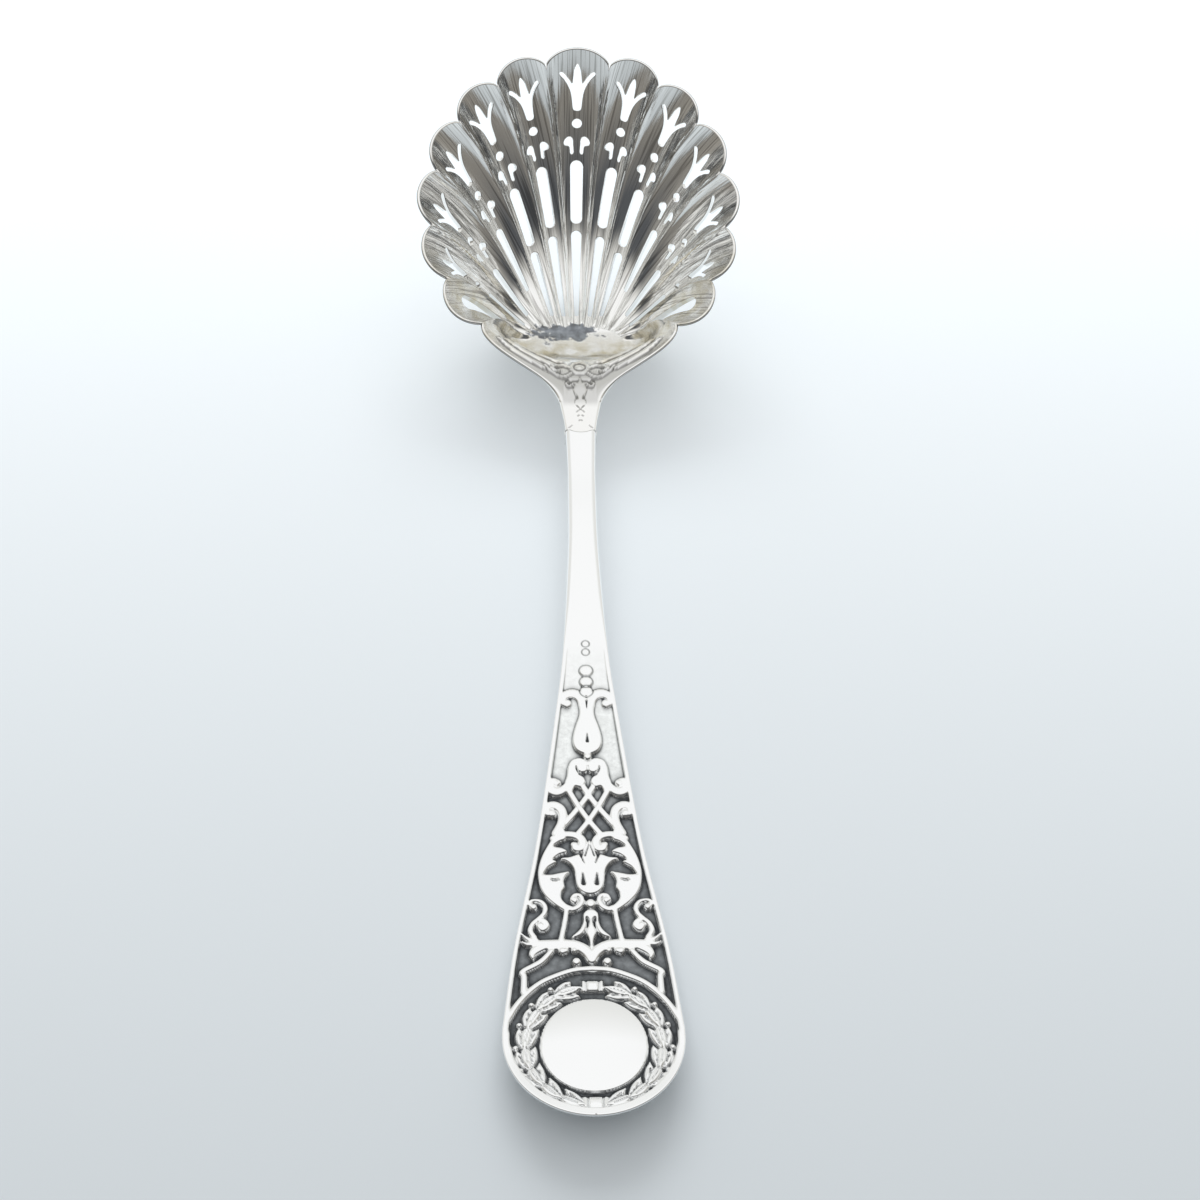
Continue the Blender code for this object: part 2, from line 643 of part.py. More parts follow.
def raised(name, outline, order, cutters):
    """An outline raised on the sunk ground; each body has its own rise, so no two tops are level."""
    rings = []
    for rise in (-MOTIF_ROOT - order * MOTIF_RISE_STEP, MOTIF_RISE + order * MOTIF_RISE_STEP):
        rings.append([(x, y, float(smooth(y, HANDLE_TOP)) - GROUND_DEPTH + rise) for x, y in outline])
    bm = bmesh.new()
    loft(bm, rings)
    motif = add_object(name, bm, cutters)
    guide(motif)
    return motif


def build_motifs(cutters):
    """Leaves, scrolls, straps and arch of the relief, to be joined to the handle."""
    shapes = []
    for name, half in OUTLINES.items():
        half = np.array(half)
        if half[0, 0] == 0.0:
            shapes.append((name, np.vstack((half, (half[1:-1] * (-1, 1))[::-1]))))
        else:
            shapes += [(f"{name}_{side}", half * (side, 1)) for side in (1, -1)]
    for name, (half_width, line) in BANDS.items():
        outline = band_outline(half_width, line)
        shapes += [(f"{name}_{side}", outline * (side, 1)) for side in (1, -1)]
    return [raised(name, outline, order, cutters) for order, (name, outline) in enumerate(shapes)]


def build_solder(parts, material):
    """Film of hard solder that fills the lap between the tongue and its seat."""
    clear = (JOINT_GAP - SOLDER_THICKNESS) / 2
    rings = []
    for y in np.linspace(TONGUE_END_Y + 0.2, NECK_Y - 0.3, 4):
        top = tongue_under(y) - clear
        back = top - SOLDER_THICKNESS
        half = SOLDER_HALF_WIDTH
        rings.append([(-half, y, back), (half, y, back), (half, y, top), (-half, y, top)])
    bm = bmesh.new()
    loft(bm, rings)
    return add_object("solder_seam", bm, parts, material)


clear_scene()
spoon = collection("sugar_sifter_spoon")
tools = collection("cutters")
build_bowl(spoon, tools, silver("polished_silver", (0.87, 0.87, 0.86), 0.12))
build_handle(spoon, tools, silver("struck_silver", (0.80, 0.81, 0.81), 0.18))
build_solder(spoon, silver("silver_solder", (0.72, 0.72, 0.69), 0.30))
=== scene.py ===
import math

import bpy
import numpy as np
from mathutils import Matrix
from mathutils.geometry import delaunay_2d_cdt


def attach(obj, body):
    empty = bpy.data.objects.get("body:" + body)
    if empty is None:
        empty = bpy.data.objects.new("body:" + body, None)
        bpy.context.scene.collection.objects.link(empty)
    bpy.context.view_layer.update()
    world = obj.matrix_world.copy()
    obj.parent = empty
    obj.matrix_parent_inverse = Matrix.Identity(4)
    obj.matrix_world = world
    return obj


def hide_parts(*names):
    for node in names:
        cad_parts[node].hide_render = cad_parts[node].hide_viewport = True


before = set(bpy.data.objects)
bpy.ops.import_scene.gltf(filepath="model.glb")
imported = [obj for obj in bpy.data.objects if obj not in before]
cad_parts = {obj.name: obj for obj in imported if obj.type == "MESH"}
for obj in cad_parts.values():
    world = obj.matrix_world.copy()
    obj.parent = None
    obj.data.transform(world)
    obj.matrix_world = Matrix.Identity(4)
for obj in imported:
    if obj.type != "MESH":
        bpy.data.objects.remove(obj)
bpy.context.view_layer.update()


# Bowl: a shell pressed from one sheet of silver, with thirteen flutes fanning from a small oval
# floor to thirteen round lobes. Each flute is pierced with a saw, and the front draws in to a
# neck whose tongue laps on the stem.
MM = 0.001
# sizes are in millimetres; the shift carries the drawing along y into the part's frame
SHIFT_Y = 2.2465
RIM_HALF_WIDTH = 21.7
RIM_HALF_LENGTH = 25.15
RIM_TILT = math.radians(24.6)
RIM_CENTRE = np.array((0.0, 53.8, 21.0))
RIM_ACROSS = np.array((1.0, 0.0, 0.0))
RIM_ALONG = np.array((0.0, math.cos(RIM_TILT), math.sin(RIM_TILT)))
RIM_UP = np.array((0.0, -math.sin(RIM_TILT), math.cos(RIM_TILT)))
MIDDLE_LOBE_ANGLE = math.radians(25.8)
LOBE_ANGLE = math.radians(21.06)
LAST_LOBE = 6
LAST_NOTCH = MIDDLE_LOBE_ANGLE / 2 + LOBE_ANGLE * LAST_LOBE
SHEET = 0.9
EDGE_SHEET = 0.55
NECK_SHEET = 1.3
LOBE_REACH = 2.7 - EDGE_SHEET / 2
FLUTE_DEPTH = 1.2
FLUTE_DEEPENING = 1.2
RIDGE_RISE = 0.42
RIDGE_ROUND = 0.07
RIDGE_BEAD = 0.24
RIDGE_BEAD_WIDTH = 0.09
WALL_SLOPE = 0.95
WALL_SLOPE_AT_NECK = 0.60
# how far the wall's curves keep to their end directions, as shares of their length
FAN_PULL_AT_FLOOR = 0.30
FAN_PULL_AT_RIM = 0.45
FRONT_PULL_AT_FLOOR = 0.36
FRONT_PULL_AT_EDGE = 0.40
FRONT_SHOULDER = 0.20
FLANGE_BEND = np.array(((0.9, -4.8, -0.9), (0.4, 4.6, 0.8)))
FLOOR_Y = 47.4
FLOOR_HALF_WIDTH = 7.15
FLOOR_HALF_LENGTH = 3.4
FLOOR_DISH = 0.25
FAN_ANGLE_AT_FLOOR = math.radians(83.7)
NECK = np.array((2.4, 24.4, 8.4))
TONGUE_END = np.array((1.75, 18.78, 7.3))
LAP_BOW = 0.9 / 2.2 ** 2


def unit(vectors):
    """Each vector divided by its own length."""
    return vectors / np.maximum(np.linalg.norm(vectors, axis=-1, keepdims=True), 1e-12)


def col(values):
    """An array with one more axis, to multiply vectors by."""
    return np.asarray(values, float)[..., None]


def ease(x):
    """0 below 0, 1 above 1, and a smooth step between them."""
    x = np.clip(x, 0, 1)
    return x * x * (3 - 2 * x)


def bezier(c0, c1, c2, c3, t):
    """Cubic curve from c0 to c3 that leaves towards c1 and arrives from c2."""
    t = col(t)
    return (1 - t) ** 3 * c0 + 3 * (1 - t) ** 2 * t * c1 + 3 * (1 - t) * t ** 2 * c2 + t ** 3 * c3


def rim_points(angle):
    """A tilted ellipse, with angle 0 at the bowl's tip: the notches of the rim lie on it."""
    return (RIM_CENTRE + col(RIM_HALF_WIDTH * np.sin(angle)) * RIM_ACROSS
            + col(RIM_HALF_LENGTH * np.cos(angle)) * RIM_ALONG)


def wall_directions(angle):
    """Outward from the ellipse, raised from its plane by the wall's slope, less so near the neck."""
    out = unit(col(np.sin(angle) / RIM_HALF_WIDTH) * RIM_ACROSS
               + col(np.cos(angle) / RIM_HALF_LENGTH) * RIM_ALONG)
    slope = col(WALL_SLOPE + (WALL_SLOPE_AT_NECK - WALL_SLOPE) * np.maximum(0.0, -np.cos(angle)) ** 2)
    return np.cos(slope) * out + np.sin(slope) * RIM_UP


def floor_edge(angle):
    """Points of the oval floor's edge and the level direction out of it."""
    s, c = np.sin(angle), np.cos(angle)
    points = np.stack((FLOOR_HALF_WIDTH * s, FLOOR_Y + FLOOR_HALF_LENGTH * c, SHEET + 0 * s), -1)
    return points, unit(np.stack((FLOOR_HALF_LENGTH * s, FLOOR_HALF_WIDTH * c, 0 * s), -1))


def fan_line(angle, reach, t):
    """A line up the wall: it leaves the floor level and arrives at the rim along the wall's slope."""
    start, level = floor_edge(FAN_ANGLE_AT_FLOOR * angle / LAST_NOTCH)
    wall = wall_directions(angle)
    end = rim_points(angle) + col(reach) * wall
    length = np.linalg.norm(end - start, axis=-1, keepdims=True)
    leaves = start + FAN_PULL_AT_FLOOR * length * level
    arrives = end - FAN_PULL_AT_RIM * length * wall
    return bezier(start, leaves, arrives, end, t)


def steps(surface, a, b, h, low, high):
    """How a surface of two parameters runs along each: the difference between points a small step
    ahead and behind, kept within low to high for the first and within 0 to 1 for the second."""
    da = surface(np.clip(a + h, low, high), b) - surface(np.clip(a - h, low, high), b)
    db = surface(a, np.clip(b + h, 0, 1)) - surface(a, np.clip(b - h, 0, 1))
    return da, db


def sheet(t):
    """Thickness of the sheet: full at the floor, thinner towards the rim."""
    return SHEET + (EDGE_SHEET - SHEET) * ease((t - 0.5) / 0.5)


def flute(lobe, place, t, outside):
    """The wall of one flute: place runs -1 to 1 from ridge to ridge and t from floor to edge.
    The fan line is pushed outwards by the flute's depth, which grows with t and falls to nothing
    at the ridges along a parabola with a rounded end. Inside, the ridges rise near the floor and
    carry a fine bead; outside, the sheet's thickness is added."""
    width = np.where(lobe == 0, MIDDLE_LOBE_ANGLE, LOBE_ANGLE)
    angle = np.sign(lobe) * (MIDDLE_LOBE_ANGLE / 2 + LOBE_ANGLE * (np.abs(lobe) - 0.5)) + place * width / 2
    from_ridge = 1 - np.abs(place)
    rounded = np.sqrt(from_ridge ** 2 + RIDGE_ROUND ** 2) - RIDGE_ROUND
    off = rounded / (math.sqrt(1 + RIDGE_ROUND ** 2) - RIDGE_ROUND)
    hollow = off * (2 - off)
    point = fan_line(angle, LOBE_REACH * np.sqrt(np.maximum(0, 1 - place ** 2)), t)
    across, up = steps(lambda p, q: fan_line(p, 0 * p, q), angle, t, 0.01, -math.pi, math.pi)
    push = FLUTE_DEPTH * t ** FLUTE_DEEPENING * hollow
    rise = RIDGE_RISE * (1 - t) ** 1.5 * (1 - hollow) * ease(t / 0.05)
    bead = RIDGE_BEAD * np.exp(-(from_ridge / RIDGE_BEAD_WIDTH) ** 2)
    rise = rise + bead * ease(t / 0.08) * ease((1 - t) / 0.12)
    return point + unit(np.cross(up, across)) * col(push + np.where(outside, sheet(t), -rise))


def front_wall(share, side, t):
    """The plain front: share 0 to 1 runs down the flange from the last notch to the neck and 1 to 2
    across half the neck; t runs from the floor to the edge."""
    flange, inward = np.minimum(share, 1.0), np.maximum(share - 1.0, 0.0)
    corner = rim_points(np.array(LAST_NOTCH))
    edge = bezier(corner, corner + FLANGE_BEND[0], NECK + FLANGE_BEND[1], NECK, flange)
    edge = edge * np.stack((1 - inward, 1 + 0 * share, 1 + 0 * share), -1)
    turn = FAN_ANGLE_AT_FLOOR + (math.pi - FAN_ANGLE_AT_FLOOR) * (0.7 * flange + 0.3 * inward)
    start, level = floor_edge(turn)
    corner_wall = wall_directions(np.array(LAST_NOTCH))
    wall = unit(corner_wall + col(flange) * (np.array((0.0, -1.0, -0.15)) - corner_wall))
    length = np.linalg.norm(edge - start, axis=-1, keepdims=True)
    shoulder = FRONT_SHOULDER * col(flange ** 3)
    leaves = start + (FRONT_PULL_AT_FLOOR - shoulder) * length * level
    arrives = edge - (FRONT_PULL_AT_EDGE + shoulder) * length * wall
    point = bezier(start, leaves, arrives, edge, t)
    return point * np.stack((side + 0 * share, 1 + 0 * share, 1 + 0 * share), -1)


def grid_normals(points):
    """Normals of a grid of points, from the cross product of its slopes both ways."""
    return unit(np.cross(np.gradient(points, axis=0), np.gradient(points, axis=1)))


def grid_faces(rows, cols, flip=False):
    """Two triangles for each cell of a grid of points."""
    i = np.arange((rows - 1) * cols).reshape(rows - 1, cols)[:, :-1].ravel()
    near = np.stack((i, i + 1, i + cols + 1), -1)
    far = np.stack((i, i + cols + 1, i + cols), -1)
    faces = np.concatenate((near, far))
    return faces[:, ::-1] if flip else faces


WELD = 2e-3


class Shell:
    """Points, triangles, corner normals, the share of tarnish and painted shade, and flat places in
    millimetres, gathered patch by patch, then welded where points meet."""

    def __init__(self):
        self.points, self.faces, self.normals, self.dull, self.flat = [], [], [], [], []
        self.count = 0

    def add(self, points, faces, normals, dull=0.0, flat=None):
        """Takes one patch: its points with their normals, tarnish and painted shade, flat places, and its
        triangles.
        """
        self.points.append(points.reshape(-1, 3))
        self.flat.append(np.zeros((len(faces), 3, 2)) if flat is None else flat[faces])
        self.dull.append((np.zeros(points.shape[:-1]) + dull).ravel())
        self.faces.append(faces + self.count)
        self.normals.append(normals.reshape(-1, 3)[faces])
        self.count += points.size // 3

    def mesh(self, name):
        """Welds points that fall in one cell, drops triangles that vanish, and makes the object."""
        points, faces = np.concatenate(self.points), np.concatenate(self.faces)
        normals = np.concatenate(self.normals)
        cells = np.round(points / WELD).astype(np.int64)
        _, first, place = np.unique(cells, axis=0, return_index=True, return_inverse=True)
        points, faces = points[first], place.ravel()[faces]
        sound = (faces[:, 0] != faces[:, 1]) & (faces[:, 1] != faces[:, 2]) & (faces[:, 0] != faces[:, 2])
        piece = add_mesh(name, points, faces[sound], normals[sound])
        dull = np.zeros(len(points))
        np.maximum.at(dull, place.ravel(), np.concatenate(self.dull))
        piece.data.attributes.new("tarnish_and_painted_shade", "FLOAT", "POINT").data.foreach_set("value", dull)
        flat = np.concatenate(self.flat)[sound]
        piece.data.uv_layers.new(name="flute").data.foreach_set("uv", flat.ravel())
        return piece


def add_mesh(name, points, faces, normals=None):
    """A mesh object from points in millimetres and triangles, placed in the spoon's frame."""
    mesh = bpy.data.meshes.new(name)
    mesh.vertices.add(len(points))
    mesh.vertices.foreach_set("co", ((points + (0.0, SHIFT_Y, 0.0)) * MM).ravel())
    mesh.loops.add(faces.size)
    mesh.loops.foreach_set("vertex_index", faces.ravel().astype(np.int32))
    mesh.polygons.add(len(faces))
    mesh.polygons.foreach_set("loop_start", np.arange(0, faces.size, 3, dtype=np.int32))
    mesh.update(calc_edges=True)
    mesh.polygons.foreach_set("use_smooth", np.ones(len(faces), bool))
    if normals is not None:
        mesh.normals_split_custom_set(unit(normals.reshape(-1, 3)))
    piece = bpy.data.objects.new(name, mesh)
    bpy.context.scene.collection.objects.link(piece)
    return piece


def curve_through(points, steps, closed=False):
    """Smooth curve through points: each span is a cubic whose end slopes come from its neighbours."""
    p = np.asarray(points, float)
    if closed:
        before, after = np.roll(p, 1, 0), np.roll(p, -1, 0)
    else:
        before, after = np.vstack((p[:1], p[:-1])), np.vstack((p[1:], p[-1:]))
    slope = (after - before) / 2
    a, b = (p, after) if closed else (p[:-1], p[1:])
    ma, mb = (slope, np.roll(slope, -1, 0)) if closed else (slope[:-1], slope[1:])
    t = np.arange(steps)[None, :, None] / steps
    spans = ((1 + 2 * t) * (1 - t) ** 2 * a[:, None] + t * (1 - t) ** 2 * ma[:, None]
             + t ** 2 * (3 - 2 * t) * b[:, None] + t ** 2 * (t - 1) * mb[:, None])
    line = spans.reshape(-1, p.shape[1])
    return line if closed else np.vstack((line, p[-1:]))


def ring(x, s, radius, steps=18):
    """Outline of a round opening."""
    turn = np.arange(steps) * 2 * math.pi / steps
    return np.stack((x + radius * np.cos(turn), s + radius * np.sin(turn)), -1)


def slit(x0, s0, x1, s1, half0, half1):
    """Outline of a long slit with round ends whose half width runs from half0 to half1."""
    turn = np.linspace(0, math.pi, 9)
    top = np.stack((x0 + half0 * np.cos(turn), s0 - half0 * np.sin(turn)), -1)
    foot = np.stack((x1 - half1 * np.cos(turn), s1 + half1 * np.sin(turn)), -1)
    share = np.linspace(0, 1, 14)[1:-1, None]
    down, back = top[-1] + share * (foot[0] - top[-1]), foot[-1] + share * (top[0] - foot[-1])
    return np.vstack((top, down, foot, back))


def fleur(foot, size):
    """Outline of the three-petalled opening below each lobe's edge."""
    half = np.array(((0.0, 0.3), (0.52, 0.1), (0.66, -0.9), (0.8, -2.1), (1.1, -3.3), (1.75, -4.7),
        (2.5, -5.9), (2.44, -6.3), (1.95, -5.95), (1.25, -4.85), (0.72, -3.95), (0.56, -4.9),
        (0.42, -6.1), (0.0, -7.0)))
    whole = np.vstack((half, (half[1:-1] * (-1, 1))[::-1]))
    return curve_through(whole * size + (0.0, foot), 4, closed=True)


def comma(side, s, size):
    """Outline of a drop with a round head and a tail that leans to the flute's middle."""
    shape = np.array(((1.3, -0.72), (1.82, -0.48), (2.02, 0.0), (1.82, 0.5), (1.4, 0.74), (1.12, 1.0),
        (1.02, 1.6), (0.97, 2.15), (0.72, 2.32), (0.47, 2.1), (0.5, 1.4), (0.55, 0.7), (0.58, 0.05),
        (0.8, -0.5)))
    return curve_through((shape * size * (side, 1))[::side] + (0.0, s), 3, closed=True)


# Openings of the flutes from the middle one out: where the fleur's foot, the eye, the commas and
# the ends of the slit lie below the lobe's edge in millimetres, and their size.
OPENINGS = ((9.2, 11.5, 14.1, 18.2, 26.4, 1.0), (9.2, 11.3, 13.8, 17.9, 25.9, 0.93),
            (9.0, 11.4, 13.9, 17.9, 25.6, 0.95), (9.6, 12.0, 14.6, 19.1, 28.9, 0.95),
            (9.8, 12.6, 15.0, 19.5, 27.6, 0.95), (10.3, 13.3, 0.0, 16.7, 23.8, 0.9))
LOWER_SLITS = ((29.1, 43.2), (28.8, 42.0), (28.2, 38.6))
SIDE_SLIT_HALF_WIDTHS = (0.72, 0.66, 0.54)


def piercings(lobe):
    """The openings of one flute in millimetres: across it, and along it from the lobe's edge."""
    k = abs(lobe)
    if k == LAST_LOBE:
        return [slit(-math.copysign(1.0, lobe), 4.8, 0.0, 19.0, 1.1, 0.35)]
    foot, eye, commas, slot_from, slot_to, size = OPENINGS[k]
    shapes = [fleur(foot, size), ring(0.0, eye, 0.7 * size)]
    if commas:
        shapes += [comma(side, commas, 0.92 * size) for side in (-1, 1)]
    if k < len(LOWER_SLITS):
        shapes.append(slit(0.0, slot_from, 0.0, slot_to, 0.9 * size, 0.8 * size))
        shapes.append(slit(0.0, LOWER_SLITS[k][0], 0.0, LOWER_SLITS[k][1], 0.74 * size, 0.28))
    else:
        shapes.append(slit(0.0, slot_from, 0.0, slot_to, SIDE_SLIT_HALF_WIDTHS[k - len(LOWER_SLITS)], 0.3))
    return shapes


def inside(points, outline):
    """Even-odd test of points against a closed outline."""
    a, b = outline, np.roll(outline, -1, 0)
    x, y = points[:, 0, None], points[:, 1, None]
    cross = (a[:, 1] > y) != (b[:, 1] > y)
    rise = np.where(b[:, 1] == a[:, 1], 1e-9, b[:, 1] - a[:, 1])
    at = a[:, 0] + (y - a[:, 1]) / rise * (b[:, 0] - a[:, 0])
    return (cross & (x < at)).sum(1) % 2 == 1


def signed_area(outline):
    """Twice the area of a closed outline, positive where it runs against the clock."""
    x, y = outline.T
    return (x * np.roll(y, -1) - np.roll(x, -1) * y).sum()


def grown(outline, amount):
    """An outline moved outwards along its own normals, and those normals."""
    along = np.roll(outline, -1, 0) - np.roll(outline, 1, 0)
    normal = np.sign(signed_area(outline)) * unit(np.stack((along[:, 1], -along[:, 0]), -1))
    return outline + amount * normal, normal


FLUTE_ROWS = np.concatenate((np.linspace(0, 0.5, 25), np.linspace(0.5, 1, 51)[1:]))
FLUTE_COLS = 0.3 * np.linspace(-1, 1, 25) + 0.7 * np.sin(np.linspace(-1, 1, 25) * math.pi / 2)
SAW_EDGE = 0.10
SAW_CLEAR = 0.24
# the flat map has each flute's inside beside its neighbour's, and all outsides far along it
FLUTE_MAP = 11.0
OUTSIDE_MAP = 600.0
OUTSIDE_MAP_SCALE = 0.35


def add_flute(shell, lobe):
    """One flute: its outline and openings are triangulated flat, then carried to both faces of the
    wall; each opening gets a wall through the sheet with a softened edge."""
    t = np.linspace(0, 1, 400)
    left, middle, right = (flute(np.full_like(t, lobe), 0 * t + place, t, False) for place in (-1, 0, 1))
    half = np.linalg.norm(right - left, axis=1) / 2
    run = np.concatenate(([0], np.cumsum(np.linalg.norm(np.diff(middle, axis=0), axis=1))))
    along = run[-1] - run
    holes = piercings(lobe)
    edges = [grown(hole, SAW_EDGE) for hole in holes]
    rows_s, rows_w = np.interp(FLUTE_ROWS, t, along), np.interp(FLUTE_ROWS, t, half)
    grid = np.stack((FLUTE_COLS[None, :] * rows_w[:, None], rows_s[:, None] + 0 * FLUTE_COLS[None, :]), -1)
    border = np.concatenate((grid[:-1, 0], grid[-1, :-1], grid[:0:-1, -1], grid[0, :0:-1]))
    fill = grid[1:-1, 1:-1].reshape(-1, 2)
    free = np.ones(len(fill), bool)
    for hole in holes:
        free &= ~inside(fill, grown(hole, SAW_CLEAR)[0])
    loops = [border, *holes, *(edge for edge, _ in edges)]
    starts = np.cumsum([0] + [len(loop) for loop in loops])
    flat = np.concatenate(loops + [fill[free]])
    wires = [(int(a + i), int(a + (i + 1) % len(loop)))
             for a, loop in zip(starts, loops) for i in range(len(loop))]
    made = delaunay_2d_cdt([tuple(p) for p in flat], wires, [], 1, 1e-5)
    spots = np.array([tuple(p) for p in made[0]])
    faces = np.array(made[2])
    origin = np.array([o[0] if o else -1 for o in made[3]])
    centre = spots[faces].mean(1)
    keep = np.ones(len(faces), bool)
    for hole in holes:
        keep &= ~inside(centre, hole)
    faces = faces[keep]
    a, b, c = spots[faces[:, 0]], spots[faces[:, 1]], spots[faces[:, 2]]
    turned = (b[:, 0] - a[:, 0]) * (c[:, 1] - a[:, 1]) - (b[:, 1] - a[:, 1]) * (c[:, 0] - a[:, 0]) < 0
    faces[turned] = faces[turned][:, ::-1]
    height = np.interp(spots[:, 1], along[::-1], t[::-1])
    place = np.clip(spots[:, 0] / np.interp(height, t, half), -1, 1)
    on_hole = (origin >= starts[1]) & (origin < starts[1 + len(holes)])
    toward = np.zeros((len(spots), 2))
    toward[on_hole] = -np.concatenate([normal for _, normal in edges])[origin[on_hole] - starts[1]]
    k = np.full(len(spots), lobe)
    skins, facing = [], []
    for outside in (False, True):
        across, up = steps(lambda p, q: flute(k, p, q, outside), place, height, 2e-3, -1, 1)
        normal = unit(np.cross(across, up)) * (-1 if outside else 1)
        mouth = col(toward[:, 0]) * unit(across) - col(toward[:, 1]) * unit(up)
        skins.append(flute(k, place, height, outside) - col(on_hole * 0.8 * SAW_EDGE) * normal)
        facing.append(unit(normal + col(on_hole) * 0.9 * mouth))
    beside = np.array((FLUTE_MAP * lobe, 0.0))
    shell.add(skins[0], faces[:, ::-1], facing[0], flat=spots + beside)
    shell.add(skins[1], faces, facing[1], flat=OUTSIDE_MAP_SCALE * spots + (OUTSIDE_MAP, 0.0) + beside)
    order = np.full(len(flat), -1)
    order[origin[origin >= 0]] = np.nonzero(origin >= 0)[0]
    for hole, start in zip(holes, starts[1:]):
        loop = order[start + np.arange(len(hole))]
        around = np.concatenate((loop, loop[:1]))
        wall = np.stack((skins[0][around], skins[1][around]))
        face = unit((facing[0] + facing[1])[around])
        shell.add(wall, grid_faces(2, len(around), flip=signed_area(hole) > 0), np.stack((face, face)))


# painted dark reflection round the rim's half-round edge, from the inside to the outside
RIM_DARK_REFLECTION = np.array((0, 0, 0, 0.4, 1, 1, 0.9))[:, None]


def add_rim(shell, inner, outer, up, side, joined, dull):
    """A half-round edge between the wall's two faces: a semicircle carried along the rim, standing
    square to it, and at the notches turned to the wall's own direction so that neighbours meet."""
    turn = np.linspace(0, math.pi, len(RIM_DARK_REFLECTION))[:, None, None]
    middle, half = (inner + outer) / 2, (outer - inner) / 2
    square = unit(np.cross(np.gradient(middle, axis=0), half)) * side
    out = unit(square + col(joined) * (up - square))
    radius = np.linalg.norm(half, axis=-1, keepdims=True)
    normal = unit(-np.cos(turn) * unit(half) + np.sin(turn) * out)
    edge = middle + radius * normal
    edge[0], edge[-1] = inner, outer
    # the rim's outer half is darkened by a painted dark reflection
    shell.add(edge, grid_faces(*edge.shape[:2], flip=side < 0), normal, RIM_DARK_REFLECTION * dull)
    return edge


shell = Shell()
for lobe in range(-LAST_LOBE, LAST_LOBE + 1):
    add_flute(shell, lobe)
    k = np.full_like(FLUTE_COLS, lobe)
    one = np.ones_like(FLUTE_COLS)
    lip = [flute(k, FLUTE_COLS, one, outside) for outside in (False, True)]
    up = unit(flute(k, FLUTE_COLS, one, False) - flute(k, FLUTE_COLS, one - 0.01, False))
    add_rim(shell, lip[0], lip[1], up, 1, ease((np.abs(FLUTE_COLS) - 0.9) / 0.1), one)

FRONT_COLS = np.concatenate((np.linspace(0, 1, 71), np.linspace(1, 2, 23)[1:]))
FAR = 9.0


def beside_line(x, y, line, reach):
    """Which points lie within reach of the box round a line."""
    low, high = line[:, :2].min(0) - reach, line[:, :2].max(0) + reach
    return (x > low[0]) & (x < high[0]) & (y > low[1]) & (y < high[1])


def to_span(x, y, a, b):
    """Distance from points to the straight span from a to b, and how far along it they lie."""
    d = b[:2] - a[:2]
    t = np.clip(((x - a[0]) * d[0] + (y - a[1]) * d[1]) / max(d @ d, 1e-9), 0, 1)
    return np.hypot(x - a[0] - t * d[0], y - a[1] - t * d[1]), t


def line_share(x, y, line):
    """Distance from a line of x, y and half width as a share of its half width, 1 at its edge."""
    dense = curve_through(line, max(3, int(40 / len(line)) + 6))
    dense[:, 2] = np.maximum(dense[:, 2], 0.03)
    near = beside_line(x, y, dense, 1.4 * dense[:, 2].max())
    share = np.full(x.shape, FAR)
    for a, b in zip(dense[:-1], dense[1:]):
        gap, t = to_span(x[near], y[near], a, b)
        share[near] = np.minimum(share[near], gap / (a[2] + t * (b[2] - a[2])))
    return share


# Worn relief of the front, on the right half and mirrored: leaves along the flange, scrolls beside
# a round boss, and a small drop between two curls above the tongue.
FRONT_LEAVES = (((2.6, 33.6, 0.3), (5.2, 35.0, 0.45), (7.8, 36.6, 0.5), (10.0, 38.4, 0.15)),
    ((4.2, 31.7, 0.35), (6.8, 33.0, 0.5), (9.2, 34.5, 0.5), (11.3, 36.2, 0.15)),
    ((5.2, 30.1, 0.25), (7.9, 31.5, 0.42), (10.4, 33.2, 0.42), (12.2, 35.0, 0.15)))
FRONT_SCROLLS = (
    ((1.5, 31.9, 0.25), (2.5, 32.5, 0.3), (3.5, 32.0, 0.34), (4.1, 31.0, 0.34), (3.6, 30.3, 0.3),
     (3.0, 30.8, 0.26)),
    ((1.2, 30.3, 0.25), (2.1, 29.4, 0.32), (3.2, 29.2, 0.34), (4.4, 29.9, 0.26), (5.2, 31.2, 0.12)),
    ((0.25, 28.0, 0.16), (0.9, 27.9, 0.2), (1.55, 27.3, 0.22), (2.05, 27.6, 0.2), (1.75, 28.2, 0.16)))
FRONT_DROP = ((0.0, 28.9, 0.12), (0.0, 28.1, 0.3), (0.0, 26.9, 0.95), (0.0, 26.2, 0.9), (0.0, 25.3, 0.45),
    (0.0, 24.7, 0.3), (0.0, 24.0, 0.85))
FRONT_CUTS = (((0.0, 22.85, 0.15), (0.55, 23.4, 0.1)), ((0.0, 22.85, 0.15), (0.6, 22.3, 0.1)),
    ((0.2, 21.75, 0.14), (0.4, 21.6, 0.14)), ((0.0, 20.9, 0.13), (0.22, 20.8, 0.13)),
    ((1.25, 19.95, 0.09), (1.7, 19.6, 0.12)))


FRONT_LEAF_HEIGHT = 0.34
FRONT_SCROLL_HEIGHT = 0.30
FRONT_PANEL_DEPTH = 0.12
FRONT_CUT_DEPTH = 0.09
BOSS_Y, BOSS_HALF_WIDTH, BOSS_HALF_LENGTH = 32.0, 1.45, 2.0
PANEL_HALF_WIDTH, PANEL_FROM_Y, PANEL_TO_Y = 2.3, 23.4, 29.2


def front_panel(x, y):
    """Share of the sunk panel over x and y: 1 inside it, falling off at its edges."""
    across = ease((PANEL_HALF_WIDTH - np.abs(x)) / 0.7)
    return across * ease((PANEL_TO_Y - y) / 1.0) * ease((y - PANEL_FROM_Y) / 1.2)


def neck_painted_shade(x, y):
    """Share of painted shade at the neck: in the sunk panel and on the shoulders beside it."""
    shoulders = ease((33.0 - y) / 4.0) * ease((y - 23.0) / 1.6)
    return 0.3 * np.maximum(front_panel(x, y), shoulders)


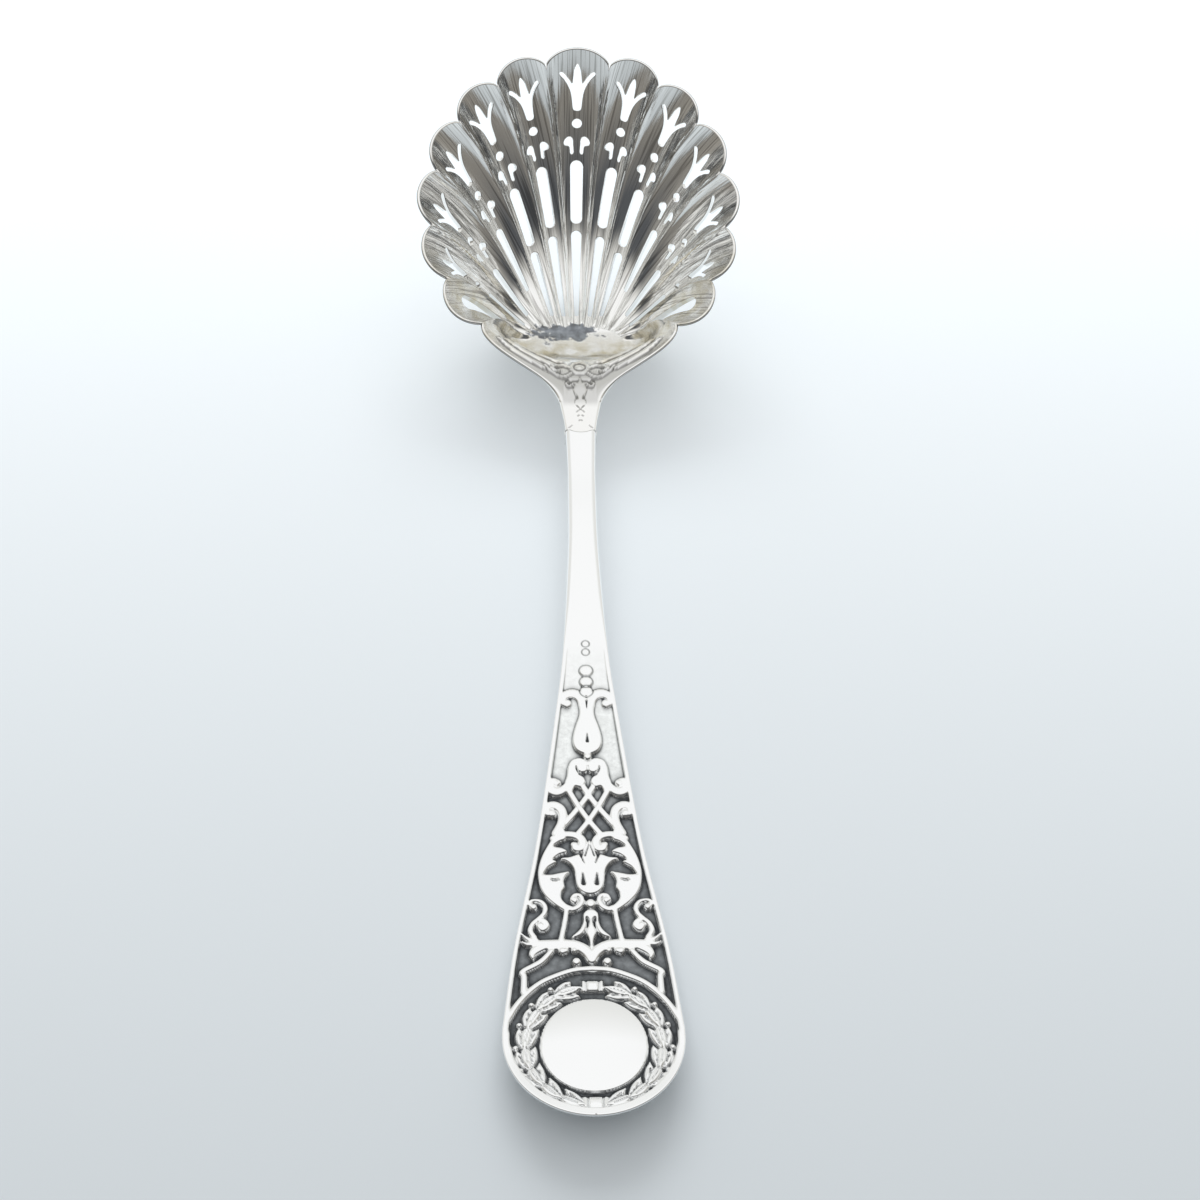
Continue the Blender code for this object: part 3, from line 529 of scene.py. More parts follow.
def front_relief(x, y):
    """Height of the worn ornament over x and y: soft swellings, a boss inside a ring, a sunk panel
    with a drop in it, and fine cuts."""
    ax = np.abs(x)
    high = np.zeros(x.shape)
    for lines, level, power in ((FRONT_LEAVES, FRONT_LEAF_HEIGHT, 0.7),
                                (FRONT_SCROLLS, FRONT_SCROLL_HEIGHT, 0.5)):
        for line in lines:
            share = np.clip(line_share(ax, y, line), 0, 1)
            high = np.maximum(high, level * (1 - share ** 3) ** power)
    from_boss = np.hypot(x / BOSS_HALF_WIDTH, (y - BOSS_Y) / BOSS_HALF_LENGTH)
    high = np.maximum(high, FRONT_SCROLL_HEIGHT * np.exp(-((from_boss - 0.85) / 0.2) ** 2))
    high = np.maximum(high, FRONT_LEAF_HEIGHT * np.exp(-(from_boss / 0.42) ** 2))
    high = high - FRONT_PANEL_DEPTH * front_panel(x, y)
    drop = np.clip(line_share(ax, y, FRONT_DROP), 0, 1)
    high = np.maximum(high, np.where(drop < 1, 0.16 * np.sqrt(1 - drop ** 3) - 0.05, -1))
    for line in FRONT_CUTS:
        high = high - FRONT_CUT_DEPTH * np.maximum(0, 1 - line_share(ax, y, line) ** 2)
    return high


def blurred(values, reach, width, mode):
    """Values averaged both ways over their neighbours within reach, by a bell of weights."""
    kernel = np.exp(-np.linspace(-width, width, 2 * reach + 1) ** 2)
    for axis in (0, 1):
        values = np.apply_along_axis(np.convolve, axis, values, kernel / kernel.sum(), mode)
    return values


def hollows(high):
    """Where relief lies lower than its own blurred height: 0 on the swellings, 1 in the hollows."""
    mean = blurred(np.pad(high, 3, mode="edge"), 3, 1.6, "valid")
    return np.clip((mean - high) / 0.055, 0, 1)


def front_sheet(share, t):
    """Thickness of the front: thin along the flange's edge, and a stout rounded edge at the neck."""
    edge = EDGE_SHEET + (NECK_SHEET - EDGE_SHEET) * ease((share - 0.62) / 0.33)
    edge = edge + (SHEET - edge) * ease((share - 1.0) / 0.12)
    along = ease(share / 0.3)
    return SHEET + (sheet(t) - SHEET) * (1 - along) + (edge - SHEET) * ease((t - 0.75) / 0.25) * along


def front_skin(share, t, side, outside):
    """The front wall, with worn relief inside and the sheet's thickness added outside, joined to
    the last flute at share 0."""
    point = front_wall(share, side, t)
    across, up = steps(lambda p, q: front_wall(p, side, q), share, t, 2e-3, 0, 2)
    normal = unit(np.cross(up, across)) * side
    near = ease(share / 0.12)
    seam_in, seam_out = (flute(np.full_like(t, side * LAST_LOBE), 0 * t + side, t, face)
                         for face in (False, True))
    seam_gap = (seam_out if outside else seam_in) - front_wall(0 * share, side, t)
    if outside:
        thick = col(front_sheet(share, t))
        seam_gap = seam_gap - thick * unit(seam_out - seam_in)
    else:
        thick = -col(front_relief(point[..., 0], point[..., 1]) * ease((share - 0.05) / 0.1))
    shifted = point + thick * normal + col(1 - near) * seam_gap
    return np.where(col(share == 0) > 0, seam_out if outside else seam_in, shifted)


for side in (-1, 1):
    share, t = np.meshgrid(FRONT_COLS, FLUTE_ROWS, indexing="ij")
    skins = []
    for outside in (False, True):
        point = front_skin(share, t, side, outside)
        normal = grid_normals(point) * (-side if outside else side)
        x, y = point[..., 0], point[..., 1]
        # tarnish in the relief's hollows, with painted shade in the sunk panel and on the shoulders
        patina_and_shade = 0.8 * hollows(front_relief(x, y)) * ease((share - 0.05) / 0.2)
        patina_and_shade = 0.0 if outside else np.maximum(patina_and_shade, neck_painted_shade(x, y))
        flat = np.full((share.size, 2), OUTSIDE_MAP * outside)
        shell.add(point, grid_faces(*share.shape, flip=(side > 0) != outside), normal, patina_and_shade, flat)
        skins.append(point)
    flange = FRONT_COLS <= 1.0
    up = unit(skins[0][flange, -1] - skins[0][flange, -2])
    shares = np.linspace(0, 1, 41)
    mouth = [skin[FRONT_COLS >= 1.0, -1] for skin in skins]
    for outside in (False, True):
        start = mouth[outside]
        end = start * (TONGUE_END[0] / NECK[0], 0, 0) + TONGUE_END * (0, 1, 1)
        end[:, 1] += LAP_BOW * end[:, 0] ** 2
        end[:, 2] -= SHEET if outside else 0
        tongue = start[:, None] + shares[None, :, None] * (end - start)[:, None]
        x, y = tongue[..., 0], tongue[..., 1]
        if outside:
            stout = mouth[0][:, 0, 2] - start[:, 2] - SHEET
            tongue[..., 2] += stout[:, None] * (ease(shares / 0.7) - shares)[None, :]
        else:
            worked = front_relief(x, y) * ease((1 - shares) / 0.1)
            tongue[..., 2] += worked - worked[:, :1] * (1 - shares)
        normal = grid_normals(tongue)
        normal = normal * np.where(normal[..., 2:] * (-1 if outside else 1) < 0, -1, 1)
        # tarnish in the relief's hollows, with painted shade from the neck's panel and shoulders
        patina_and_shade = 0.0 if outside else np.maximum(0.7 * hollows(front_relief(x, y)), neck_painted_shade(x, y))
        shell.add(tongue, grid_faces(*tongue.shape[:2], flip=(side > 0) != outside), normal, patina_and_shade)
        mouth[outside] = tongue
    tip = np.stack((mouth[0][:, -1], mouth[1][:, -1]))
    shell.add(tip, grid_faces(2, tip.shape[1], flip=side < 0), np.zeros_like(tip) + (0.0, -1.0, 0.0))
    inner = np.concatenate((skins[0][flange, -1], mouth[0][0][1:]))
    outer = np.concatenate((skins[1][flange, -1], mouth[1][0][1:]))
    beyond = len(inner) - flange.sum()
    up = np.concatenate((up, np.repeat(up[-1:], beyond, 0)))
    joined = np.concatenate((ease(1 - FRONT_COLS[flange] / 0.05), np.zeros(beyond)))
    # painted dark reflection along the flange's rim, strong at the last notch and fading towards the neck
    dull = np.concatenate((1 - 0.9 * ease((FRONT_COLS[flange] - 0.55) / 0.3), np.full(beyond, 0.1)))
    edge = add_rim(shell, inner, outer, up, side, joined, dull)[:, -1]
    corners = np.arange(1, len(edge) - 1)
    cap = np.stack((0 * corners, corners, corners + 1), -1)
    shell.add(edge, cap if side < 0 else cap[:, ::-1], np.zeros_like(edge) + (0.0, -1.0, 0.0))

# the oval floor: rings from the middle to the foot of the walls
foot = [flute(np.full_like(FLUTE_COLS, k), FLUTE_COLS, 0 * FLUTE_COLS, False)[:-1]
        for k in range(-LAST_LOBE, LAST_LOBE + 1)]
foot.append(front_wall(FRONT_COLS, 1, 0 * FRONT_COLS))
foot.append(front_wall(FRONT_COLS[::-1], -1, 0 * FRONT_COLS)[1:])
foot = np.concatenate(foot)
centre = np.array((0.0, FLOOR_Y, SHEET))
share = np.linspace(0.02, 1, 14)[:, None, None]
inner_floor = centre + share * (foot - centre)
outer_floor = inner_floor * (1, 1, 0)
inner_floor[..., 2] -= FLOOR_DISH * (1 - share[..., 0] ** 2)
for floor, flip, way in ((inner_floor, False, 1.0), (outer_floor, True, -1.0)):
    lean = -2 * FLOOR_DISH * (floor - centre) * (FLOOR_HALF_WIDTH ** -2, FLOOR_HALF_LENGTH ** -2, 0)
    normal = unit(lean * (way > 0) + (0.0, 0.0, way))
    shell.add(floor, grid_faces(*floor.shape[:2], flip=flip), normal)
    hub = np.concatenate((floor[0], floor[0].mean(0, keepdims=True)))
    n = len(floor[0])
    fan = np.stack((np.full(n - 1, n), np.arange(n - 1), np.arange(1, n)), -1)
    shell.add(hub, fan if flip else fan[:, ::-1], np.zeros_like(hub) + (0.0, 0.0, way))
bowl = shell.mesh("bowl_shell")


def linear(code):
    """sRGB hex to linear colour."""
    parts = [int(code[i:i + 2], 16) / 255 for i in (1, 3, 5)]
    return (*[p / 12.92 if p <= 0.04045 else ((p + 0.055) / 1.055) ** 2.4 for p in parts], 1.0)


def wire(tree, made, links):
    """Sets a node's inputs, each to a value, to an output or to another node's first live output."""
    for key, value in links.items():
        if isinstance(value, bpy.types.Node):
            value = next(output for output in value.outputs if output.enabled)
        if isinstance(value, bpy.types.NodeSocket):
            tree.links.new(value, made.inputs[key])
        else:
            made.inputs[key].default_value = value


def node(tree, kind, links=None, **settings):
    """Adds a shader node with its settings and links."""
    made = tree.nodes.new("ShaderNode" + kind)
    for key, value in settings.items():
        setattr(made, key, value)
    wire(tree, made, links or {})
    return made


def material(name):
    """A new material, its node tree and its shader."""
    made = bpy.data.materials.new(name)
    made.use_nodes = True
    return made, made.node_tree, made.node_tree.nodes["Principled BSDF"]


# Polished sterling silver: bright mirror with the faint haze and streaks that cleaning leaves, a bloom inside,
# a painted dark reflection on the far half of the floor, tarnish in the hollows, painted shade on the neck and
# a painted dark reflection along the outer edge of the rim
silver, tree, shader = material("polished_sterling_silver")
tarnish_and_painted_shade = node(tree, "Attribute", attribute_name="tarnish_and_painted_shade").outputs["Fac"]
place = node(tree, "TexCoord").outputs["Object"]
spot = node(tree, "SeparateXYZ", {0: place}).outputs
flutes = node(tree, "UVMap", uv_map="flute")
map_x = node(tree, "SeparateXYZ", {0: flutes}).outputs["X"]
# a yellowish bloom on the front wall and the near half of the floor, inside only, in blotches
# about 2.4 mm across
blotch = node(tree, "TexNoise", {"Vector": place, "Scale": 420.0, "Detail": 5.0})
bloom = 1.0
for value, none_at, full_at, least in ((spot["Y"], 0.0515, 0.0470, 0.0), (spot["Y"], 0.0330, 0.0380, 0.0),
                                       (map_x, 500.0, 400.0, 0.0), (spot["Z"], 0.020, 0.005, 0.4)):
    limit = node(tree, "MapRange", {"Value": value, "From Min": none_at, "From Max": full_at, "To Min": least})
    bloom = node(tree, "Math", {0: bloom, 1: limit}, operation="MULTIPLY")
patchy = node(tree, "MapRange", {"Value": blotch, "From Min": 0.36, "From Max": 0.62})
warm = node(tree, "Math", {0: bloom, 1: patchy}, operation="MULTIPLY")
clean = node(tree, "Mix", {"Factor": warm, "A": linear("#F5F5F3"), "B": linear("#D2CAB2")}, data_type="RGBA")
# a painted dark reflection of the far wall: a blue-grey patch with a ragged edge on the far half of the floor,
# in clouds about 1 mm across
east, north = (
    node(tree, "MapRange", {"Value": spot[axis], "From Min": start, "From Max": end, "To Min": -1.0},
         clamp=False)
    for axis, start, end in (("X", -0.0082, 0.0040), ("Y", 0.0492, 0.0539)))
away = node(tree, "VectorMath", {0: node(tree, "CombineXYZ", {0: east, 1: north})}, operation="LENGTH")
uneven = node(tree, "MapRange", {"Value": blotch, "To Min": -1.15, "To Max": 1.15})
ragged = node(tree, "Math", {0: away, 1: uneven}, operation="ADD")
dark_reflection = node(tree, "MapRange", {"Value": ragged, "From Min": 0.92, "From Max": 0.78, "To Max": 0.85})
cloud = node(tree, "TexNoise", {"Vector": place, "Scale": 900.0, "Detail": 3.0})
cloudy = node(tree, "MapRange", {"Value": cloud, "From Min": 0.38, "From Max": 0.62})
reflection_tone = node(tree, "Mix", {"Factor": cloudy, "A": linear("#3C4450"), "B": linear("#7E868F")},
              data_type="RGBA")
reflected = node(tree, "Mix", {"Factor": dark_reflection, "A": clean, "B": reflection_tone}, data_type="RGBA")
# one grey for tarnish in the relief's hollows, painted shade on the neck and the painted dark reflection along
# the rim
tone = node(tree, "Mix", {"Factor": tarnish_and_painted_shade, "A": reflected, "B": linear("#4A4946")}, data_type="RGBA")
# haze in patches about 2.4 mm across, duller under the bloom
haze = node(tree, "TexNoise", {"Vector": place, "Scale": 420.0, "Detail": 4.0})
hazy = node(tree, "MapRange", {"Value": haze, "To Min": 0.05, "To Max": 0.14})
rough = node(tree, "Math", {0: bloom, 1: 0.15, 2: hazy}, operation="MULTIPLY_ADD")
# hand polishing along the flutes leaves streaks about 0.4 mm wide and 14 mm long, with
# finer darker lines, 0.3 mm wide, between them
drawn = node(tree, "VectorMath", {0: flutes, 1: (2.4, 0.07, 1.0)}, operation="MULTIPLY")
streak = node(tree, "TexNoise", {"Vector": drawn, "Scale": 1.0, "Detail": 3.0})
fine = node(tree, "VectorMath", {0: flutes, 1: (3.4, 0.07, 1.0)}, operation="MULTIPLY")
line_noise = node(tree, "TexNoise", {"Vector": fine, "Scale": 1.0, "Detail": 2.0})
lines = node(tree, "MapRange", {"Value": line_noise, "From Min": 0.51, "From Max": 0.62, "To Max": 0.5})
lined_tone = node(tree, "Mix", {"Factor": lines, "A": tone, "B": linear("#66625A")}, data_type="RGBA")
wave = node(tree, "Bump", {"Height": streak, "Distance": 0.00005, "Strength": 0.7})
# wear has left the front wall uneven, in dents about 1 mm across
pitted = node(tree, "Math", {0: cloud, 1: bloom}, operation="MULTIPLY")
dents = node(tree, "Bump", {"Height": pitted, "Distance": 0.00012, "Strength": 0.8, "Normal": wave})
wire(tree, shader, {"Metallic": 1.0, "Base Color": lined_tone, "Roughness": rough, "Normal": dents})
bowl.data.materials.append(silver)
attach(bowl, "root")
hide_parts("bowl")


# Handle: struck from a silver bar in one piece. A slim plain stem widens to a round end; a sunk,
# oxidised ground inside a narrow border carries polished relief, and a laurel wreath rings a
# domed disc. The bowl's tongue is soldered on a seat at its other end.
HANDLE_TOP = ((19, 7.3), (10, 6.85), (2, 6.65), (-13, 6.0), (-33, 4.35), (-50, 2.9), (-64, 2.7),
    (-75, 3.65), (-83.8, 5.2))
HANDLE_BACK = ((19, 4.0), (2, 3.5), (-13, 3.1), (-33, 1.8), (-50, 0.0), (-64, 0.0), (-75, 1.5),
    (-83.8, 3.3))
HANDLE_HALF_WIDTH = ((19, 2.25), (10, 2.05), (2, 2.05), (-13, 2.55), (-21, 2.95), (-32, 4.15), (-49, 6.4),
    (-64.5, 9.1), (-73, 10.0))
END_CENTRE_Y = -73.8
END_RADIUS = 10.0
EDGE_ROUND = 0.2
STEM_EDGE_ROUND = 0.75
BORDER = 0.5
END_BORDER = 0.9
GROUND_DEPTH = 0.6
STEP_Y = 18.7
NECK_Y = NECK[1]
UNDER_TONGUE = 1.02 * SHEET
UNDER_FRONT = 1.05 * SHEET
FINE_ROWS_Y = -16.0
FINE_ROW_STEP = 0.142
SEAT_HALF_WIDTH = 2.3
SEAT_BACK = 4.0
SEAT_GAP = 0.2
SEAT_LIP = 0.34
SEAT_LIP_X = 1.75
SEAT_LIP_SLOPE = 0.35
SEAT_EDGE_ROUND = 0.12
HEEL_END_Y = 33.5
HEEL_HALF_WIDTH = 2.35
HEEL_END_HALF_WIDTH = 0.6
HEEL_END_BACK = 3.9
HEEL_END_THICKNESS = 0.25
FACE_COLS = 141
DISC_Y = -75.0
DISC_RADIUS = 5.95


def smooth(value, table):
    """Curve through the points of a table that never overshoots: cubic spans, each end slope the
    harmonic mean of the slopes beside it."""
    x, y = np.array(sorted(table), float).T
    rate = np.diff(y) / np.diff(x)
    both = rate[:-1] * rate[1:]
    inner = np.where(both > 0, 2 * both / np.where(both > 0, rate[:-1] + rate[1:], 1), 0)
    slope = np.concatenate((rate[:1], inner, rate[-1:]))
    value = np.clip(value, x[0], x[-1])
    i = np.clip(np.searchsorted(x, value, side="right") - 1, 0, len(x) - 2)
    h = x[i + 1] - x[i]
    t = (value - x[i]) / h
    return ((1 + 2 * t) * (1 - t) ** 2 * y[i] + t * (1 - t) ** 2 * h * slope[i]
            + t ** 2 * (3 - 2 * t) * y[i + 1] + t ** 2 * (t - 1) * h * slope[i + 1])


def half_width(y):
    """Half width of the stem and blade, with a round end of its own radius."""
    end = np.sqrt(np.maximum(0, END_RADIUS ** 2 - (y - END_CENTRE_Y) ** 2))
    return np.where(y > END_CENTRE_Y, smooth(y, HANDLE_HALF_WIDTH), end)


# Relief in millimetres on the right half, mirrored on the left. Each stroke is a line of x, y and
# half width, each fill is an outline, each dot is a bead with its radius, and each cut is a line
# sunk into what it crosses.
STROKES = {
    "lyre_arm": ((0.46, -29.46, 0.57), (0.63, -28.34, 0.65), (1.19, -27.63, 0.69), (2.07, -27.45, 0.65),
        (2.9, -27.88, 0.57), (3.12, -28.56, 0.55), (2.47, -28.95, 0.57)),
    "side_curl": ((2.5, -40.55, 0.45), (3.06, -41.32, 0.64), (3.8, -41.59, 0.73), (4.45, -41.32, 0.76),
        (4.68, -40.68, 0.76), (4.34, -40.21, 0.68), (3.72, -40.35, 0.53)),
    "scroll_hook": ((4.25, -44.73, 0.43), (4.88, -44.5, 0.6), (5.11, -43.98, 0.64), (4.73, -43.52, 0.66),
        (4.0, -43.52, 0.69), (3.37, -43.99, 0.71), (3.11, -44.88, 0.67), (3.3, -46.05, 0.7),
        (3.77, -47.28, 0.84)),
    "inner_scroll": ((4.31, -48.03, 0.5), (3.24, -47.55, 0.53), (2.04, -47.51, 0.57),
        (1.15, -47.87, 0.63), (0.79, -48.56, 0.67), (1.02, -49.24, 0.66), (1.59, -49.32, 0.6),
        (1.88, -48.88, 0.46)),
    "volute": ((3.04, -57.37, 0.41), (2.17, -57.6, 0.42), (1.35, -57.21, 0.41), (0.98, -56.47, 0.38),
        (1.23, -55.84, 0.34), (1.83, -55.77, 0.33), (2.12, -56.28, 0.36), (1.8, -56.57, 0.36)),
    "stem": ((2.75, -57.3, 0.38), (3.0, -59.14, 0.38), (3.45, -61.53, 0.39)),
    "tendril_top": ((6.77, -57.19, 0.44), (7.13, -56.77, 0.28), (6.58, -56.43, 0.28),
        (5.75, -56.62, 0.34), (5.27, -57.31, 0.38), (5.37, -58.13, 0.38), (5.95, -58.8, 0.37),
        (6.67, -59.5, 0.38), (6.96, -60.41, 0.39), (6.48, -61.31, 0.43)),
    "tendril_low": ((6.1, -58.92, 0.27), (5.41, -59.12, 0.39), (5.12, -59.69, 0.47), (5.58, -60.11, 0.47),
        (6.03, -59.71, 0.34)),
    "arm": ((0.0, -63.99, 0.69), (0.49, -63.09, 0.75), (1.47, -62.38, 0.75), (2.76, -62.11, 0.75),
        (4.41, -62.18, 0.84), (5.77, -62.09, 0.66), (6.84, -61.9, 0.43)),
    "arm_leaf": ((5.1, -62.3, 0.52), (6.18, -62.73, 0.64), (6.71, -63.31, 0.52), (6.66, -63.93, 0.18)),
    "arm_tip": ((6.32, -61.65, 0.41), (7.23, -61.49, 0.32), (7.96, -60.81, 0.11)),
    "arm_tip_low": ((6.56, -62.08, 0.37), (7.36, -62.13, 0.29), (7.92, -61.82, 0.11)),
    "strut": ((4.56, -63.0, 0.37), (5.79, -64.38, 0.43), (7.74, -65.57, 0.43), (7.63, -66.29, 0.44),
        (7.65, -68.22, 0.48)),
    "arch": ((0.0, -65.26, 0.42), (2.0, -65.45, 0.42), (3.9, -66.1, 0.42), (5.7, -67.0, 0.42),
        (7.2, -68.3, 0.42), (8.5, -70.0, 0.42), (9.5, -72.0, 0.42)),
}
STRAPS = {
    "strap_over": ((2.46, -41.31, 0.46), (1.13, -43.8, 0.46), (-0.18, -45.86, 0.46),
        (-1.3, -47.37, 0.46)),
    "strap_under": ((-0.68, -40.76, 0.46), (0.37, -42.56, 0.46), (1.6, -44.29, 0.46),
        (3.12, -46.22, 0.46)),
}
FILLS = {
    "lyre": ((0.0, -28.2), (0.77, -29.16), (0.86, -30.36), (1.0, -31.1), (1.34, -32.13), (1.65, -33.31),
        (1.78, -34.33), (1.65, -35.2), (1.27, -35.84), (0.6, -36.25), (0.0, -36.42)),
    "husk": ((0.0, -37.45), (0.63, -37.05), (1.24, -36.95), (1.99, -37.3), (2.41, -38.18), (2.56, -39.44),
        (2.87, -40.55), (2.46, -41.38), (1.91, -41.49), (1.57, -40.9), (0.87, -41.0), (0.33, -40.35),
        (0.55, -39.65), (1.16, -39.16), (0.19, -38.82), (0.0, -38.05)),
    "leaf_upper": ((3.24, -46.18), (3.95, -47.28), (4.72, -48.58), (5.47, -50.08), (5.93, -51.59),
        (6.05, -52.87), (5.5, -52.9), (4.92, -52.0), (3.93, -51.28), (4.31, -50.93), (3.64, -50.27),
        (2.69, -49.86), (3.23, -49.37), (4.24, -49.11), (3.59, -48.49), (2.76, -47.97)),
    "leaf_lower": ((6.06, -52.6), (5.56, -52.93), (4.51, -52.97), (3.4, -52.73), (2.45, -52.6),
        (2.85, -53.19), (3.08, -53.84), (3.0, -54.71), (3.36, -55.44), (3.34, -56.24), (2.74, -56.97),
        (2.11, -57.31), (2.24, -57.83), (3.04, -57.78), (3.78, -57.3), (4.7, -56.5), (5.45, -55.56),
        (5.93, -54.36)),
    "tulip": ((0.0, -48.29), (0.33, -49.11), (0.65, -49.9), (0.91, -50.48), (1.33, -50.26),
        (2.28, -50.58), (3.39, -50.8), (2.7, -51.21), (2.14, -51.76), (1.79, -52.63), (1.68, -53.85),
        (1.42, -54.79), (0.8, -55.41), (0.0, -55.63)),
    "bell": ((0.0, -57.67), (0.48, -57.79), (0.86, -58.29), (0.88, -59.15), (1.27, -60.19), (2.2, -61.22),
        (1.37, -61.1), (0.73, -60.39), (0.4, -59.16), (0.0, -58.77)),
    "bell_point": ((0.0, -58.25), (0.1, -58.77), (0.26, -59.68), (0.57, -60.59), (0.29, -61.49),
        (0.0, -62.72)),
}
DOTS = ((2.47, -28.95, 0.62), (3.9, -40.5, 0.55), (4.5, -44.6, 0.6), (1.75, -49.0, 0.55),
    (1.85, -56.4, 0.5), (6.6, -57.3, 0.5), (5.75, -59.7, 0.45), (0.0, -36.7, 0.57), (0.0, -56.84, 0.7),
    (2.97, -62.98, 0.41), (1.95, -62.94, 0.38), (3.31, -63.0, 0.52), (1.75, -64.35, 0.58),
    (0.0, -24.0, 0.84), (0.0, -25.69, 0.82), (0.0, -27.13, 0.8))
CUTS = (((0.0, -33.54, 0.07), (0.0, -34.55, 0.24)), ((0.0, -28.57, 0.18), (0.0, -29.76, 0.04)),
    ((1.43, -38.22, 0.11), (1.27, -38.8, 0.13), (0.69, -39.14, 0.15)),
    ((4.68, -53.63, 0.06), (4.21, -53.8, 0.13), (3.57, -53.67, 0.06)),
    ((1.14, -50.18, 0.14), (0.68, -51.41, 0.05)), ((0.11, -49.01, 0.06), (0.55, -50.46, 0.11)),
    ((0.85, -52.77, 0.05), (0.78, -54.2, 0.32)), ((0.48, -58.84, 0.21), (0.38, -59.81, 0.07)))
RING_HALF_WIDTH, RING_DEPTH = 0.11, 0.08
# punched rings: y of the centre and radius; the last three outline the beads
RINGS = ((-19.86, 0.5), (-21.12, 0.5), (-24.0, 0.9), (-25.69, 0.88), (-27.13, 0.86))


def fill_depth(x, y, outline):
    """Distance inside a smooth closed outline, negative outside it; a half outline that starts on
    the axis is mirrored."""
    half = np.asarray(outline, float)
    if half[0, 0] == 0 and half[-1, 0] == 0:
        half = np.vstack((half, (half[1:-1] * (-1, 1))[::-1]))
    edge = curve_through(half, 6, closed=True)
    near = beside_line(x, y, edge, 0.3)
    depth = np.full(x.shape, -FAR)
    spots = np.stack((x[near], y[near]), -1)
    best = np.full(len(spots), FAR)
    for a, b in zip(edge, np.roll(edge, -1, 0)):
        best = np.minimum(best, to_span(*spots.T, a, b)[0])
    depth[near] = np.where(inside(spots, edge), best, -best)
    return depth


def swell(share):
    """Rounded cross-section of relief: full over most of its width, falling steeply at its edge."""
    return (1 - np.clip(share, 0, 1) ** 3.4) ** 0.6


STROKE_HEIGHT = 0.96
UNDER_STRAP_HEIGHT = 0.80
DOT_HEIGHT = 1.05
CUT_DEPTH = 1.1


def relief(x, y):
    """Height of the ornament above the sunk ground, 0 to about 1, over arrays of x and y."""
    ax = np.abs(x)
    high = np.zeros(x.shape)
    for line in STROKES.values():
        high = np.maximum(high, STROKE_HEIGHT * swell(line_share(ax, y, line)))
    for outline in FILLS.values():
        high = np.maximum(high, swell(1 - np.clip((fill_depth(ax, y, outline) + 0.1) / 0.42, 0, 1)))
    for name, level in (("strap_under", UNDER_STRAP_HEIGHT), ("strap_over", STROKE_HEIGHT)):
        for side in (1, -1):
            high = np.maximum(high, level * swell(line_share(side * x, y, STRAPS[name])))
    for cx, cy, radius in DOTS:
        high = np.maximum(high, DOT_HEIGHT * swell(np.hypot(ax - cx, y - cy) / radius))
    for line in CUTS:
        high = high - CUT_DEPTH * np.maximum(0, 1 - line_share(ax, y, line) ** 2)
    return np.maximum(high, 0)


WREATH_INSIDE, WREATH_OUTSIDE, RELIEF_STOPS = 6.0, 9.0, 8.6
BUNDLES = 8
WREATH_FROM, WREATH_ARC = -77, 137
# the two side leaves and the middle one of a bundle: lean, radius of foot, length, half width, height
LEAVES = ((0.42, 7.55, 2.6, 0.68, 0.86), (-0.42, 7.45, 2.5, 0.66, 0.86), (0.0, 7.5, 3.1, 0.66, 1.0))
LEAF_OUTLINE = ((0.0, 0.35), (0.25, 0.85), (0.5, 1.0), (0.75, 0.75), (1.0, 0.1))
LEAF_BEND = 0.0605
TIES = ((-82.15, 1.5), (-67.5, 1.35))


def wreath(x, y):
    """Laurel wreath: on each side bundles of three broad, veined leaves with a berry follow a circle
    from the tie at the foot to the tie at the top."""
    ax = np.abs(x)
    high = np.zeros(x.shape)
    centre = np.array((0.0, DISC_Y))
    for i in range(BUNDLES):
        turn = math.radians(WREATH_FROM + WREATH_ARC * i / (BUNDLES - 1))
        radial = np.array((math.cos(turn), math.sin(turn)))
        along = np.array((-math.sin(turn), math.cos(turn)))
        for lean, start, length, wide, level in LEAVES:
            way = along * math.cos(lean) + radial * math.sin(lean)
            root = centre + start * radial - 0.45 * along
            line = [(*(root + way * length * f - LEAF_BEND * radial * (length * f) ** 2), wide * w)
                    for f, w in LEAF_OUTLINE]
            leaf = (1 - np.clip(line_share(ax, y, line), 0, 1) ** 2) ** 0.6
            high = np.where(leaf > 0, np.maximum(level * leaf, np.minimum(high, leaf)), high)
            vein = [(px, py, 0.11) for px, py, _ in line[1:4]]
            high = high - 0.55 * np.maximum(0, 1 - line_share(ax, y, vein) ** 2)
        berry = centre + 8.5 * radial - 0.5 * along
        high = np.maximum(high, 0.9 * swell(np.hypot(ax - berry[0], y - berry[1]) / 0.36))
    for tie_y, tie_half in TIES:
        block = np.maximum(ax / tie_half, np.abs(y - tie_y) / 0.8)
        lines = np.minimum(np.abs(ax - 0.55 * tie_half), np.abs(ax - tie_half))
        high = np.maximum(high, swell(block) * (1 - 0.55 * np.exp(-(lines / 0.12) ** 2)))
    return high


def ground_share(x, y):
    """1 on the ground inside the border and 0 on the border, with a short slope between."""
    round_edge = END_RADIUS - np.hypot(x, y - END_CENTRE_Y)
    to_edge = np.where(y > END_CENTRE_Y, half_width(y) - np.abs(x), round_edge)
    border = BORDER + (END_BORDER - BORDER) * ease((-69.0 - y) / 8.0)
    return ease((to_edge - border) / 0.15) * ease((-19.0 - y) / 4.0)


